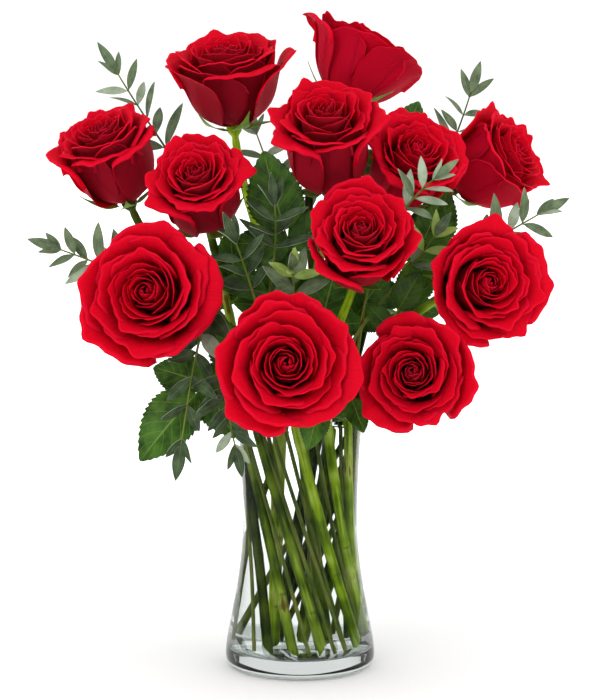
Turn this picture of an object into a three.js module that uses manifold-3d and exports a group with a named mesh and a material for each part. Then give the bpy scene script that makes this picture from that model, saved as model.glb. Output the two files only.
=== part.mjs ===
// A dozen red roses with small-leaved eucalyptus, standing in a waisted glass vase of water.
// Millimetres, +Z up. The origin is the middle of the vase's foot, on the surface it stands on, and
// the flowers' front looks along -Y.

import * as THREE from 'three';
import { mergeVertices } from 'three/addons/utils/BufferGeometryUtils.js';
import Module from 'manifold-3d';

const wasm = await Module();
wasm.setup();

const { lerp: mix, degToRad: radians, clamp } = THREE.MathUtils;
const vector = (list) => new THREE.Vector3(...list);

const CLEARANCE = 0.3; // between pieces that touch
const UP = new THREE.Vector3(0, 0, 1);

// Vase: [radius, height] down its outside, and the glass
const VASE_HEIGHT = 200;
const VASE_OUTSIDE = [
  [55, 9], [53.8, 21], [49.6, 43], [45.3, 67], [42.6, 92], [42, 115], [42.9, 142], [44.7, 171], [47.4, 198],
];
const OUTSIDE_ROWS = 6;
const INSIDE_ROWS = 4;
const VASE_SIDES = 22;
const VASE_FOOT = [[47, 0], [51.8, 1.6], [54.4, 5]]; // from the flat that it stands on to its widest
const GLASS = 3; // wall
const FLOOR_TOP = 12.5;
const FLOOR_CORNER = [[43, 0], [46.4, 1.4], [48.6, 5]]; // radius and height over the inside floor
const WALL_START = 12; // height over the inside floor where the wall follows the outside
const RIM_DEPTH = 2; // of the rounding at the mouth
const RIM_ROUND = 0.7;
const WATER_TOP = 186;

// Stems in the vase are straight lines that lean round a waist, so that none of them crosses another
const LINE_BOTTOM = 14; // height of their cut ends
const LINE_WAIST = 100;
const LINE_LEAN = 0.28; // sideways over up, for a line at OUTER_RING
const OUTER_RING = 28; // distance of the lines from the vase's axis, at the waist
const ROSE_STEM_RADIUS = 3.5;
const STEM_SIDES = 5;
const TWIG_RADIUS = 1.4;
const TWIG_SIDES = 4;
const CURVE_STEPS = 5; // in a stem above the vase
const HOLE_CLEARANCE = 0.36; // round a stem in the water

// Petals of a bloom: counted from the outermost, each a golden angle on from the last
const PETALS = 36; // in the real flower
const SHOWN_PETALS = [0, 1, 2, 3, 4, 11];
const PETAL_THICKNESS = 1;
const EDGE_ROWS = 0.86; // share of a petal's rows before its rolled edge
const GOLDEN_ANGLE = radians(137.508);
const HIP_LENGTH = 12;
const SEPAL_HEIGHT = -3.2; // lower edge of the sepals' roots, from the hip's top
const HIP = [[5.4, -7.5], [5.9, SEPAL_HEIGHT], [5.6, -1.2], [4.8, 0]]; // radius and height, to its top
const SEPAL_REACH = 20; // from the hip to a sepal's tip
const SEPAL_DROP = 5;

// Blooms: the eye where each one's petals meet, the way it opens, its radius and height, and where its
// stem stands in the vase (the angle at the mouth, and the distance from the axis at the waist)
const EYE_LEVEL = 0.96; // height of the eye in a bloom, as a share of the bloom's
const ROSES = [
  { eye: [-56, 46, 454], axis: [-0.1, -0.36, 0.92], radius: 46, height: 64, mouth: [120, 13] },
  { eye: [53, 70, 462], axis: [0.45, 0.1, 0.88], radius: 50, height: 55, mouth: [50, 13] },
  { eye: [-146, -5, 396], axis: [-0.3, -0.45, 0.82], radius: 38, height: 66, mouth: [150, 28] },
  { eye: [-75, -53, 368], axis: [-0.12, -0.76, 0.62], radius: 36, height: 66, mouth: [178, 28] },
  { eye: [17, -48, 411], axis: [-0.04, -0.62, 0.78], radius: 38, height: 76, mouth: [-95, 12] },
  { eye: [86, -22, 384], axis: [0.28, -0.7, 0.62], radius: 37.5, height: 62, mouth: [0, 13] },
  { eye: [162, 31, 381], axis: [0.75, -0.42, 0.5], radius: 38, height: 62, mouth: [28, 28] },
  { eye: [-108, -88, 285], axis: [-0.2, -0.95, 0.2], radius: 50, height: 62, mouth: [-150, 28] },
  { eye: [-9, -130, 240], axis: [0.04, -0.97, 0.22], radius: 50, height: 68, mouth: [-100, 28] },
  { eye: [42, -96, 330], axis: [0.03, -0.84, 0.54], radius: 38.5, height: 62, mouth: [-65, 28] },
  { eye: [134, -74, 289], axis: [0.25, -0.94, 0.14], radius: 45, height: 64, mouth: [-2, 28] },
  { eye: [77, -99, 230], axis: [-0.12, -0.96, 0.2], radius: 40.5, height: 62, mouth: [-35, 28] },
];

// Compound leaves: the rose whose stem bears each, how far up that stem's curve, the base and the tip
// of its end leaflet, and the way its upper side looks
const ROSE_LEAVES = [
  { rose: 8, at: 0.3, base: [-74, -36, 206], tip: [-116, -48, 162], face: [-0.3, -0.9, 0.5] },
  { rose: 5, at: 0.55, base: [-11, -18, 322], tip: [-27, -16, 378], face: [-0.2, -0.95, 0.2] },
  { rose: 9, at: 0.2, base: [-24, -28, 277], tip: [-59, -34, 288], face: [0.1, -0.6, 0.8] },
  { rose: 6, at: 0.75, base: [68, 30, 371], tip: [88, 30, 413], face: [0.3, -0.9, 0.3] },
  { rose: 6, at: 0.5, base: [90, 0, 314], tip: [102, -2, 343], face: [0, -0.9, 0.4] },
  { rose: 12, at: 0.35, base: [70, -40, 267], tip: [85, -44, 294], face: [0.1, -0.9, 0.4] },
  { rose: 3, at: 0.45, base: [-92, 62, 290], tip: [-134, 92, 302], face: [-0.3, 0.6, 0.8] },
  { rose: 2, at: 0.4, base: [36, 92, 312], tip: [52, 134, 334], face: [0, 0.2, 1] },
  { rose: 7, at: 0.25, base: [84, 72, 258], tip: [122, 108, 268], face: [0.3, 0.5, 0.8] },
  { rose: 4, at: 0.5, base: [-46, 24, 271], tip: [-53, 22, 319], face: [-0.3, -0.9, 0.3] },
  { rose: 1, at: 0.3, base: [-12, 10, 269], tip: [-21, 2, 318], face: [0.2, -0.95, 0.2] },
  { rose: 5, at: 0.3, base: [15, -4, 254], tip: [28, -10, 300], face: [0.2, -0.95, 0.2] },
  { rose: 6, at: 0.3, base: [44, 14, 261], tip: [64, 8, 292], face: [-0.2, -0.9, 0.3] },
  { rose: 7, at: 0.5, base: [77, 22, 267], tip: [97, 18, 303], face: [0.3, -0.9, 0.3] },
  { rose: 7, at: 0.7, base: [95, 40, 307], tip: [110, 36, 348], face: [0.2, -0.9, 0.3] },
  { rose: 8, at: 0.15, base: [-43, -20, 220], tip: [-62, -22, 260], face: [-0.3, -0.9, 0.3] },
  { rose: 9, at: 0.1, base: [13, -62, 200], tip: [6, -72, 172], face: [0, -0.9, 0.3] },
  { rose: 12, at: 0.12, base: [36, -60, 206], tip: [45, -70, 184], face: [0.1, -0.9, 0.3] },
];
const LEAF_THICKNESS = 0.8;
const END_LEAFLET_WIDTH = 0.7; // as a share of its length
const SIDE_LEAFLET_LENGTH = 0.74; // as a share of the end leaflet's
const SIDE_LEAFLET_WIDTH = 0.5; // as a share of the end leaflet's length
const SIDE_LEAFLETS_AT = 0.72; // up the stalk of the whole leaf
const RACHIS_RADII = [1.2, 1, 0.8];
const LEAFLET_DROOP = 0.12; // of a blade's tip, as a share of its length
const LANCE_DROOP = 0.14;

// Sprays: the tip of the twig and the way it points there, where it stands in the vase (as the roses'),
// how stiffly it leaves the mouth and comes to its tip, the pairs of leaves, where on the curve they
// begin, their length, and their width as a share of it
const SPRAYS = [
  {
    tip: [-136, 46, 436], aim: [-0.5, -0.1, 0.85], mouth: [135, 30],
    pairs: 6, from: 0.76, leaf: 33, broad: 0.3,
  },
  {
    tip: [-176, 6, 307], aim: [-0.9, -0.25, 0.35], mouth: [-166, 30],
    pairs: 6, from: 0.72, leaf: 31, broad: 0.36,
  },
  {
    tip: [-83, -79, 176], aim: [-0.15, -0.15, -1], mouth: [-139, 30], stiffness: 1.4,
    pairs: 8, from: 0.42, leaf: 34, broad: 0.36,
  },
  {
    tip: [-45, -62, 316], aim: [-0.3, -0.4, 0.85], mouth: [-114, 24],
    pairs: 4, from: 0.7, leaf: 32, broad: 0.34,
  },
  {
    tip: [-5, -80, 299], aim: [0, -0.85, 0.5], mouth: [-80, 26],
    pairs: 4, from: 0.74, leaf: 26, broad: 0.4,
  },
  {
    tip: [130, 96, 420], aim: [0.3, 0, 1], mouth: [48, 30],
    pairs: 5, from: 0.78, leaf: 33, broad: 0.32,
  },
  {
    tip: [94, -64, 361], aim: [0.7, -0.3, 0.6], mouth: [-18, 28],
    pairs: 4, from: 0.84, leaf: 28, broad: 0.3,
  },
  {
    tip: [173, -5, 333], aim: [0.85, -0.1, 0.5], mouth: [16, 30],
    pairs: 5, from: 0.77, leaf: 32, broad: 0.34,
  },
  {
    tip: [-34, 112, 390], aim: [-0.3, 0.6, 0.8], mouth: [90, 30],
    pairs: 5, from: 0.6, leaf: 32, broad: 0.38,
  },
  {
    tip: [-45, -80, 174], aim: [0.25, -0.1, -0.98], mouth: [-126, 30], stiffness: 1.25,
    pairs: 7, from: 0.7, leaf: 29, broad: 0.34,
  },
  {
    tip: [-18, -44, 342], aim: [-0.1, -0.2, 1], mouth: [-150, 20],
    pairs: 4, from: 0.79, leaf: 30, broad: 0.3,
  },
  {
    tip: [96, -40, 320], aim: [0.5, -0.3, 0.8], mouth: [-40, 24],
    pairs: 3, from: 0.82, leaf: 26, broad: 0.38,
  },
];
const PAIR_SPREAD = radians(52); // of a leaf from its twig
const PAIR_TURN = 1.1; // radians round the twig from one pair to the next, and back
const LAST_PAIR_SIZE = 0.5; // as a share of the first's
const LIGHT = new THREE.Vector3(0.1, -0.92, 0.38); // the leaves' upper sides turn to it
const TIP_LEAF = 0.8; // length of the single leaf at a twig's end, as a share of the first ones'
const TIP_LEAF_ROOT = 1.5; // depth of that leaf's root in the twig
const LAST_PAIR_AT = 0.985; // up the twig's curve
const LEAF_ROOT = 0.15; // distance of a leaf's root from the twig's middle, as a share of its radius
const SIZE_RANGE = [0.85, 1.15]; // of leaves from the rule
const LEAF_HOLD = [0.2, 0.9]; // least and most that a leaf keeps the way it grew, rather than turn

const red = () => new THREE.MeshStandardMaterial({ color: 0xc8001c, roughness: 0.6, metalness: 0 });
const green = () => new THREE.MeshStandardMaterial({ color: 0x4f7a1e, roughness: 0.6, metalness: 0 });
const greyGreen = () => new THREE.MeshStandardMaterial({ color: 0x6f8c6c, roughness: 0.7, metalness: 0 });
const glass = () => new THREE.MeshStandardMaterial({ color: 0xe9efee, roughness: 0.05, metalness: 0 });
const clear = () => new THREE.MeshStandardMaterial({ color: 0xdfe9e6, roughness: 0.02, metalness: 0 });

// ---- solids


function toSolid(geometry) {
  const bare = geometry.clone();
  bare.deleteAttribute('normal');
  bare.deleteAttribute('uv');
  const merged = mergeVertices(bare, 1e-4);
  const mesh = new wasm.Mesh({
    numProp: 3,
    vertProperties: new Float32Array(merged.attributes.position.array),
    triVerts: new Uint32Array(merged.index.array),
  });
  return new wasm.Manifold(mesh);
}

function toGeometry(solid) {
  const mesh = solid.getMesh();
  const geometry = new THREE.BufferGeometry();
  geometry.setAttribute('position', new THREE.BufferAttribute(mesh.vertProperties, 3));
  geometry.setIndex(new THREE.BufferAttribute(mesh.triVerts, 1));
  return geometry;
}

function fromLists(points, triangles) {
  const geometry = new THREE.BufferGeometry().setFromPoints(points);
  geometry.setIndex(triangles.flat());
  return toSolid(geometry);
}

// One body: a hollow that joining seals is filled, and a loose scrap is dropped
function join(solids) {
  const bodies = solids.reduce((whole, solid) => whole.add(solid)).decompose();
  return bodies.reduce((best, body) => (body.volume() > best.volume() ? body : best));
}

function lathe(profile, sides) {
  const geometry = new THREE.LatheGeometry(profile.map(([r, z]) => new THREE.Vector2(r, z)), sides);
  geometry.rotateX(Math.PI / 2);
  return toSolid(geometry);
}

// A closed tube through points, each with its radius; its section keeps from turning. The faces from
// one ring to the next, where spiked, each run out to a tip.
function tube(points, radii, sides, spiked = -1, spike = null) {
  const along = points.map((p, i) => points[Math.min(i + 1, points.length - 1)].clone()
    .sub(points[Math.max(i - 1, 0)]).normalize());
  let side = new THREE.Vector3().crossVectors(along[0], new THREE.Vector3(1, 0, 0)).normalize();
  const ring = [];
  points.forEach((p, i) => {
    side = side.clone().addScaledVector(along[i], -side.dot(along[i])).normalize();
    const other = new THREE.Vector3().crossVectors(along[i], side);
    for (let k = 0; k < sides; k += 1) {
      const angle = (2 * Math.PI * k) / sides;
      ring.push(p.clone().addScaledVector(side, radii[i] * Math.cos(angle))
        .addScaledVector(other, radii[i] * Math.sin(angle)));
    }
  });
  const triangles = [];
  const last = (points.length - 1) * sides;
  for (let k = 0; k < sides; k += 1) {
    const next = (k + 1) % sides;
    for (let i = 0; i < last; i += sides) {
      const [a, b, c, d] = [i + k, i + next, i + sides + next, i + sides + k];
      if (i === spiked * sides) {
        const middle = ring[a].clone().add(ring[c]).multiplyScalar(0.5);
        const tip = ring.push(spike(middle)) - 1;
        triangles.push([a, b, tip], [b, c, tip], [c, d, tip], [d, a, tip]);
      } else {
        triangles.push([a, b, c], [a, c, d]);
      }
    }
    if (k > 0 && k < sides - 1) triangles.push([0, next, k], [last, last + k, last + next]);
  }
  return fromLists(ring, triangles);
}

// A closed sheet: front points, their unit normals, the front's triangles and the loop round its
// edge. Its back lies one thickness behind and is split alike.
function sheet(front, normals, triangles, loop, thickness) {
  const count = front.length;
  const back = front.map((p, i) => p.clone().addScaledVector(normals[i], -thickness));
  const all = triangles.flatMap(([a, b, c]) => [[a, b, c], [a + count, c + count, b + count]]);
  loop.forEach((a, i) => {
    const b = loop[(i + 1) % loop.length];
    all.push([a, a + count, b + count], [a, b + count, b]);
  });
  return fromLists([...front, ...back], all);
}

// ---- vase and water

function outsideRadius(height) {
  const rows = new THREE.SplineCurve(VASE_OUTSIDE.map(([r, z]) => new THREE.Vector2(r, z))).getPoints(90);
  const above = Math.max(1, rows.findIndex((p) => p.y >= height));
  const [low, high] = [rows[above - 1], rows[above]];
  return mix(low.x, high.x, (height - low.y) / (high.y - low.y));
}

// Rows of the inside wall, from low to high
const INSIDE = Array.from({ length: INSIDE_ROWS + 1 }, (_, i) => {
  const height = mix(FLOOR_TOP + WALL_START, VASE_HEIGHT - RIM_DEPTH, i / INSIDE_ROWS);
  return [outsideRadius(height) - GLASS, height];
});

function vase() {
  const outside = Array.from({ length: OUTSIDE_ROWS + 1 }, (_, i) => {
    const height = mix(VASE_OUTSIDE[0][1], VASE_HEIGHT - RIM_DEPTH, i / OUTSIDE_ROWS);
    return [outsideRadius(height), height];
  });
  const rim = outsideRadius(VASE_HEIGHT - RIM_DEPTH);
  const profile = [
    [0, 0], ...VASE_FOOT, ...outside,
    [rim - RIM_ROUND, VASE_HEIGHT], [rim - GLASS + RIM_ROUND, VASE_HEIGHT],
    ...INSIDE.toReversed(),
    ...FLOOR_CORNER.map(([r, z]) => [r, FLOOR_TOP + z]).reverse(),
    [0, FLOOR_TOP],
  ];
  return lathe(profile, VASE_SIDES);
}

function water(lines) {
  const bottom = FLOOR_TOP + CLEARANCE;
  const wet = INSIDE.filter(([, height]) => height < WATER_TOP);
  const [low, high] = [wet.at(-1), INSIDE[wet.length]];
  const top = mix(low[0], high[0], (WATER_TOP - low[1]) / (high[1] - low[1]));
  const profile = [
    [0, bottom], ...FLOOR_CORNER.map(([r, z]) => [r - CLEARANCE, bottom + z]),
    ...wet.map(([r, z]) => [r - CLEARANCE, z]), [top - CLEARANCE, WATER_TOP], [0, WATER_TOP],
  ];
  return lines.reduce((solid, { line, radius, sides }) => {
    const ends = [line(bottom - 5), line(WATER_TOP + 5)];
    return solid.subtract(tube(ends, ends.map(() => radius + HOLE_CLEARANCE), sides));
  }, lathe(profile, VASE_SIDES));
}

// The straight line that meets the vase's mouth at an angle, as a function from height to point.
// Its distance from the axis at the waist also sets its lean.
function vaseLine([angle, ring]) {
  const lean = LINE_LEAN * (ring / OUTER_RING);
  const turned = Math.atan2(lean * (VASE_HEIGHT - LINE_WAIST), ring);
  const waist = radians(angle) + turned;
  return (height) => new THREE.Vector3(
    ring * Math.cos(waist) + lean * (height - LINE_WAIST) * Math.sin(waist),
    ring * Math.sin(waist) - lean * (height - LINE_WAIST) * Math.cos(waist),
    height,
  );
}

// ---- blooms

// A repeatable draw from 0 to 1
function draw(seed, index) {
  const value = Math.sin(seed * 12.9898 + index * 78.233) * 43758.5453;
  return value - Math.floor(value);
}

// 0 to 1 with no slope at either end
function ramp(x) {
  const share = clamp(x, 0, 1);
  return share * share * (3 - 2 * share);
}

// The middle line of a petal, in (radius, height), from its base to its lip. t is 1 for the outermost
// petal and 0 for the innermost; flare turns its upper end outwards.
function petalMiddle(rose, t, lip, flare) {
  const base = new THREE.Vector2(mix(0.6, 5, t), mix(3, CLEARANCE, t));
  const start = radians(mix(12, 76, t));
  const end = radians(mix(-38, 68, t ** 0.65) + flare);
  const belly = mix(0.42, 0.6, t) * rose.height;
  const reach = mix(0.25, 0.36, t) * rose.height;
  return new THREE.CubicBezierCurve(
    base,
    new THREE.Vector2(base.x + belly * Math.sin(start), base.y + belly * Math.cos(start)),
    new THREE.Vector2(lip.x - reach * Math.sin(end), lip.y - reach * Math.cos(end)),
    lip,
  );
}

// One petal of a bloom as a function from (u across, -1 to 1; v up, 0 to 1) to a point. Every petal
// differs a little from the rule. An arc rolls its edge on from the middle line's end.
function petalSurface(rose, seed, index) {
  const t = 1 - index / (PETALS - 1);
  const some = (k) => draw(seed, index * 8 + k);
  const lip = new THREE.Vector2(
    rose.radius * (0.015 + 0.985 * t ** 1.2) * (1 + 0.1 * (some(1) - 0.5)),
    rose.height * (1 - 0.04 * (1 - t) ** 2 - 0.19 * t ** 2) * (1 + 0.07 * (some(2) - 0.5)),
  );
  const middle = petalMiddle(rose, t, lip, 70 * (some(7) - 0.35) * t ** 4);
  const halfWidth = (mix(9, 42, t ** 0.8) * rose.radius) / 48;
  const spread = Math.min(halfWidth / Math.max(lip.x, 3), 1.35);
  const spiral = mix(0.22, 0.04, t ** 0.7);
  const roll = radians(mix(30, 95, t)) * (0.5 + 0.9 * some(3));
  const rollRadius = mix(0.8, 2.8, t);
  const sideRoll = mix(0.3, 3.2, t) * (0.5 + some(4));
  const wave = mix(0.2, 2.3, t);
  const [phase, phase2] = [2 * Math.PI * some(4), 2 * Math.PI * some(5)];
  const heading = -index * GOLDEN_ANGLE + 0.12 * (some(0) - 0.5);
  const lean = 0.1 * (some(6) - 0.5);

  return (u, v) => {
    const skew = u + 0.5 * (some(5) - 0.5) * (1 - u * u);
    const top = 1 - mix(0.2, 0.42, t) * (1 - Math.sqrt(Math.max(0, 1 - Math.abs(skew) ** 2.4)))
      + 0.06 * some(6) * t * Math.exp(-((skew / 0.2) ** 2));
    const s = clamp(v / EDGE_ROWS, 0, 1) * top;
    const curl = clamp((v - EDGE_ROWS) / (1 - EDGE_ROWS), 0, 1) * roll * (0.65 + 0.5 * Math.abs(u) ** 1.5);
    const line = middle.getPoint(s);
    const { x: out, y: rise } = line.clone().sub(middle.getPoint(s - 0.01)).normalize();
    const back = sideRoll * clamp((Math.abs(u) - 0.55) / 0.45, 0, 1) ** 2 * ramp(s / 0.5);
    let r = line.x + rollRadius * (out * Math.sin(curl) + rise * (1 - Math.cos(curl))) + back * rise;
    let z = line.y + rollRadius * (rise * Math.sin(curl) - out * (1 - Math.cos(curl))) - back * out;
    const angle = u * spread * mix(0.72, 1, ramp(s / 0.5));
    const flat = 1 / Math.max(Math.cos(clamp(angle, -1.1, 1.1) * 0.9), 0.4) - 1;
    r *= 1 + mix(0, 0.25, t) * flat * ramp((s - 0.2) / 0.8);
    r *= 1 + spiral * u * ramp(s / 0.4);
    const ruffle = wave * s ** 3 * (0.7 * Math.sin(3.1 * u + phase) + 0.4 * Math.sin(7.3 * u + phase2));
    r += 0.6 * ruffle;
    z += 0.8 * ruffle;
    const turn = heading + angle + lean * s;
    return new THREE.Vector3(r * Math.cos(turn), r * Math.sin(turn), z);
  };
}

// A surface as a closed petal, with its inner side in front. It narrows to a point at its root.
const PETAL_COLUMNS = 3;
const PETAL_ROOT = 0.12;
const PETAL_ROWS = [0.5, EDGE_ROWS];

function petal(surface) {
  const step = 0.02; // over which the slope is measured
  const [points, normals, triangles] = [[], [], []];
  function place(u, v) {
    const du = surface(u + step, v).sub(surface(u - step, v));
    const dv = surface(u, v + step).sub(surface(u, Math.max(v - step, 0)));
    points.push(surface(u, v));
    normals.push(du.cross(dv).normalize().negate());
  }
  place(0, PETAL_ROOT);
  const across = Array.from({ length: PETAL_COLUMNS + 1 }, (_, i) => (2 * i) / PETAL_COLUMNS - 1);
  PETAL_ROWS.forEach((v) => across.forEach((u) => place(u, v)));
  const at = (i, k) => 1 + k * across.length + i;
  for (let i = 0; i < PETAL_COLUMNS; i += 1) {
    triangles.push([0, at(i, 0), at(i + 1, 0)]);
    for (let k = 0; k < PETAL_ROWS.length - 1; k += 1) {
      const [a, b, c, d] = [at(i, k), at(i, k + 1), at(i + 1, k + 1), at(i + 1, k)];
      triangles.push([a, b, c], [a, c, d]);
    }
  }
  const loop = [
    0,
    ...PETAL_ROWS.map((_, k) => at(0, k)),
    ...across.slice(1).map((_, i) => at(i + 1, PETAL_ROWS.length - 1)),
    ...PETAL_ROWS.slice(1).map((_, k) => at(PETAL_COLUMNS, PETAL_ROWS.length - 2 - k)),
  ];
  return sheet(points, normals, triangles, loop, PETAL_THICKNESS);
}

// The bloom's own frame: +Z the way it opens, with its origin on top of its hip
function bloomFrame(rose) {
  const axis = vector(rose.axis).normalize();
  const side = new THREE.Vector3().crossVectors(UP, axis).normalize();
  const frame = new THREE.Matrix4().makeBasis(side, new THREE.Vector3().crossVectors(axis, side), axis);
  return frame.setPosition(vector(rose.eye).addScaledVector(axis, -EYE_LEVEL * rose.height));
}

// The inner petals are shown as a solid heart: its radius and height as shares of the bloom's
const HEART = [[0.38, 0.08], [0.5, 0.24], [0.3, 0.72], [0, 0.93]];
const HEART_ROOT = 7; // radius that it stands on
const HEART_SIDES = 7;

function bloom(rose, seed) {
  const petals = SHOWN_PETALS.map((index) => petal(petalSurface(rose, seed, index)));
  const heart = lathe([
    [0, CLEARANCE], [HEART_ROOT, CLEARANCE], ...HEART.map(([r, h]) => [r * rose.radius, h * rose.height]),
  ], HEART_SIDES);
  return join([heart, ...petals]);
}

// ---- stems, hips and leaves

function stemCurve(rose) {
  const line = vaseLine(rose.mouth);
  const frame = bloomFrame(rose);
  const end = new THREE.Vector3(0, 0, -HIP_LENGTH).applyMatrix4(frame);
  const axis = new THREE.Vector3().setFromMatrixColumn(frame, 2);
  return climb(line, end, axis);
}

// The curve from the mouth of the vase, where a line leaves it, to an end with its own direction
function climb(line, end, aim, stiffness = 0.38) {
  const mouth = line(VASE_HEIGHT);
  const lean = line(VASE_HEIGHT).sub(line(VASE_HEIGHT - 1)).normalize();
  const far = stiffness * mouth.distanceTo(end);
  return new THREE.CubicBezierCurve3(
    mouth, mouth.clone().addScaledVector(lean, far), end.clone().addScaledVector(aim, -far), end,
  );
}

// The points of a stalk up a line and a curve, and their radii
function stalk(line, curve, radius, tipRadius) {
  const points = [line(LINE_BOTTOM), ...curve.getPoints(CURVE_STEPS)];
  return [points, points.map((_, i) => mix(radius, tipRadius, Math.max(0, i - 1) / CURVE_STEPS))];
}

// A blade from a point, along a direction, with its upper side up
function blade(outline, start, along, up, length, width, droop) {
  const right = new THREE.Vector3().crossVectors(along, up).normalize();
  const top = new THREE.Vector3().crossVectors(right, along).normalize();
  const place = ([across, s, fold = 0]) => start.clone().addScaledVector(along, s * length)
    .addScaledVector(right, across * width).addScaledVector(top, fold * width - droop * s * s * length);
  const { points, triangles, loop } = outline;
  return sheet(points.map(place), points.map(() => top), triangles, loop, LEAF_THICKNESS);
}

// Outlines of a blade: [across in widths, along in lengths, fold up in widths]
const LANCE = {
  points: [[0, 0], [0.36, 0.26, 0.06], [0.44, 0.56, 0.06], [0, 1], [-0.44, 0.56, 0.06], [-0.36, 0.26, 0.06]],
  triangles: [[0, 1, 5], [1, 4, 5], [1, 2, 4], [2, 3, 4]],
  loop: [0, 1, 2, 3, 4, 5],
};
// A rose leaflet: ovate, folded up along its rib, with forward-pointing teeth
function leafletOutline(teeth) {
  const half = (s) => 0.5 * Math.sin(Math.PI * s ** 0.72) ** 0.75;
  const points = [[0, 0, 0]];
  const [right, left, rib] = [[], [], [0]];
  for (let k = 1; k <= teeth; k += 1) {
    const [tooth, notch] = [(k - 0.35) / (teeth + 0.6), (k + 0.05) / (teeth + 0.6)];
    for (const [s, grow] of [[tooth, 1.12], [notch, 0.86]]) {
      const reach = half(s) * grow;
      right.push(points.push([reach, s, 0.22 * reach]) - 1);
      left.push(points.push([-reach, s, 0.22 * reach]) - 1);
    }
    rib.push(points.push([0, notch, 0]) - 1);
  }
  const tip = points.push([0, 1, 0]) - 1;
  const triangles = [];
  for (const [edge, flip] of [[right, false], [left, true]]) {
    const add = (a, b, c) => triangles.push(flip ? [a, c, b] : [a, b, c]);
    for (let k = 0; k < teeth; k += 1) {
      const before = k === 0 ? rib[0] : edge[2 * k - 1];
      if (k > 0) add(rib[k], before, edge[2 * k]);
      add(rib[k], edge[2 * k], rib[k + 1]);
      add(rib[k + 1], edge[2 * k], edge[2 * k + 1]);
    }
    add(rib[teeth], edge[2 * teeth - 1], tip);
  }
  return { points, triangles, loop: [0, ...right, tip, ...left.reverse()] };
}

const END_LEAFLET = leafletOutline(2);
const SIDE_LEAFLET = leafletOutline(1);

function roseLeaf(leaf, curve) {
  const start = curve.getPoint(leaf.at);
  const [base, tip, face] = [vector(leaf.base), vector(leaf.tip), vector(leaf.face).normalize()];
  const along = tip.clone().sub(base);
  const length = along.length();
  along.normalize();
  const bend = base.clone().addScaledVector(along, -0.45 * start.distanceTo(base));
  const rachis = new THREE.QuadraticBezierCurve3(start, bend, base.clone().addScaledVector(along, 0.8));
  const right = new THREE.Vector3().crossVectors(along, face).normalize();
  const parts = [
    tube(rachis.getPoints(RACHIS_RADII.length - 1), RACHIS_RADII, 3),
    blade(END_LEAFLET, base, along, face, length, END_LEAFLET_WIDTH * length, LEAFLET_DROOP),
  ];
  for (const way of [-1, 1]) {
    const aim = along.clone().multiplyScalar(0.35).addScaledVector(right, way).normalize();
    const root = rachis.getPoint(SIDE_LEAFLETS_AT).addScaledVector(aim, 0.3);
    const [reach, width] = [SIDE_LEAFLET_LENGTH * length, SIDE_LEAFLET_WIDTH * length];
    parts.push(blade(SIDE_LEAFLET, root, aim, face, reach, width, LEAFLET_DROOP));
  }
  return join(parts);
}

// Stem, hip and its five sepals as one tube, with the leaves that grow from it
function roseStem(rose, leaves) {
  const curve = stemCurve(rose);
  const frame = bloomFrame(rose);
  const axis = new THREE.Vector3().setFromMatrixColumn(frame, 2);
  const [points, radii] = stalk(vaseLine(rose.mouth), curve, ROSE_STEM_RADIUS, 0.85 * ROSE_STEM_RADIUS);
  const sepalRing = points.length + HIP.findIndex(([, z]) => z === SEPAL_HEIGHT);
  HIP.forEach(([r, z]) => {
    points.push(new THREE.Vector3(0, 0, z).applyMatrix4(frame));
    radii.push(r);
  });
  const top = points[points.length - 1];
  const sepal = (root) => {
    const out = root.clone().sub(top);
    out.addScaledVector(axis, -out.dot(axis)).normalize();
    return root.clone().addScaledVector(out, SEPAL_REACH).addScaledVector(axis, -SEPAL_DROP);
  };
  const body = tube(points, radii, STEM_SIDES, sepalRing, sepal);
  return join([body, ...leaves.map((leaf) => roseLeaf(leaf, curve))]);
}

// ---- eucalyptus

function spray(plan, seed) {
  const line = vaseLine(plan.mouth);
  const aim = vector(plan.aim).normalize();
  const curve = climb(line, vector(plan.tip), aim, plan.stiffness);
  const twig = tube(...stalk(line, curve, TWIG_RADIUS, 0.9), TWIG_SIDES);
  const leaves = [];
  for (let k = 0; k < plan.pairs; k += 1) {
    const s = mix(plan.from, LAST_PAIR_AT, k / (plan.pairs - 1));
    const along = curve.getTangent(s);
    const side = new THREE.Vector3().crossVectors(along, LIGHT).normalize()
      .applyAxisAngle(along, PAIR_TURN * ((k % 2) - 0.5) + 0.6 * (draw(seed, k) - 0.5));
    const size = plan.leaf * mix(1, LAST_PAIR_SIZE, (k / plan.pairs) ** 1.5)
      * mix(...SIZE_RANGE, draw(seed, k + 40));
    const spread = k === plan.pairs - 1 ? PAIR_SPREAD / 2 : PAIR_SPREAD;
    for (const way of [-1, 1]) {
      const opened = spread * (0.75 + 0.5 * draw(seed, 2 * k + way + 60));
      const [cos, sin] = [Math.cos(opened), Math.sin(opened)];
      const out = along.clone().multiplyScalar(cos).addScaledVector(side, way * sin);
      const face = along.clone().multiplyScalar(sin).addScaledVector(side, -way * cos)
        .multiplyScalar(mix(...LEAF_HOLD, draw(seed, 2 * k + way + 90)))
        .add(LIGHT).addScaledVector(out, -out.dot(LIGHT)).normalize();
      const start = curve.getPoint(s).addScaledVector(out, LEAF_ROOT * TWIG_RADIUS);
      leaves.push(blade(LANCE, start, out, face, size, plan.broad * size, LANCE_DROOP));
    }
  }
  const along = curve.getTangent(1);
  const face = LIGHT.clone().addScaledVector(along, -along.dot(LIGHT));
  const start = curve.getPoint(1).addScaledVector(along, -TIP_LEAF_ROOT);
  const size = TIP_LEAF * plan.leaf;
  leaves.push(blade(LANCE, start, along, face, size, plan.broad * size, LANCE_DROOP));
  return join([twig, ...leaves]);
}

// ---- the whole

const bouquet = new THREE.Group();

function add(name, solid, material, frame = new THREE.Matrix4()) {
  const mesh = new THREE.Mesh(toGeometry(solid), material);
  mesh.name = name;
  mesh.applyMatrix4(frame);
  bouquet.add(mesh);
}

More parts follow.
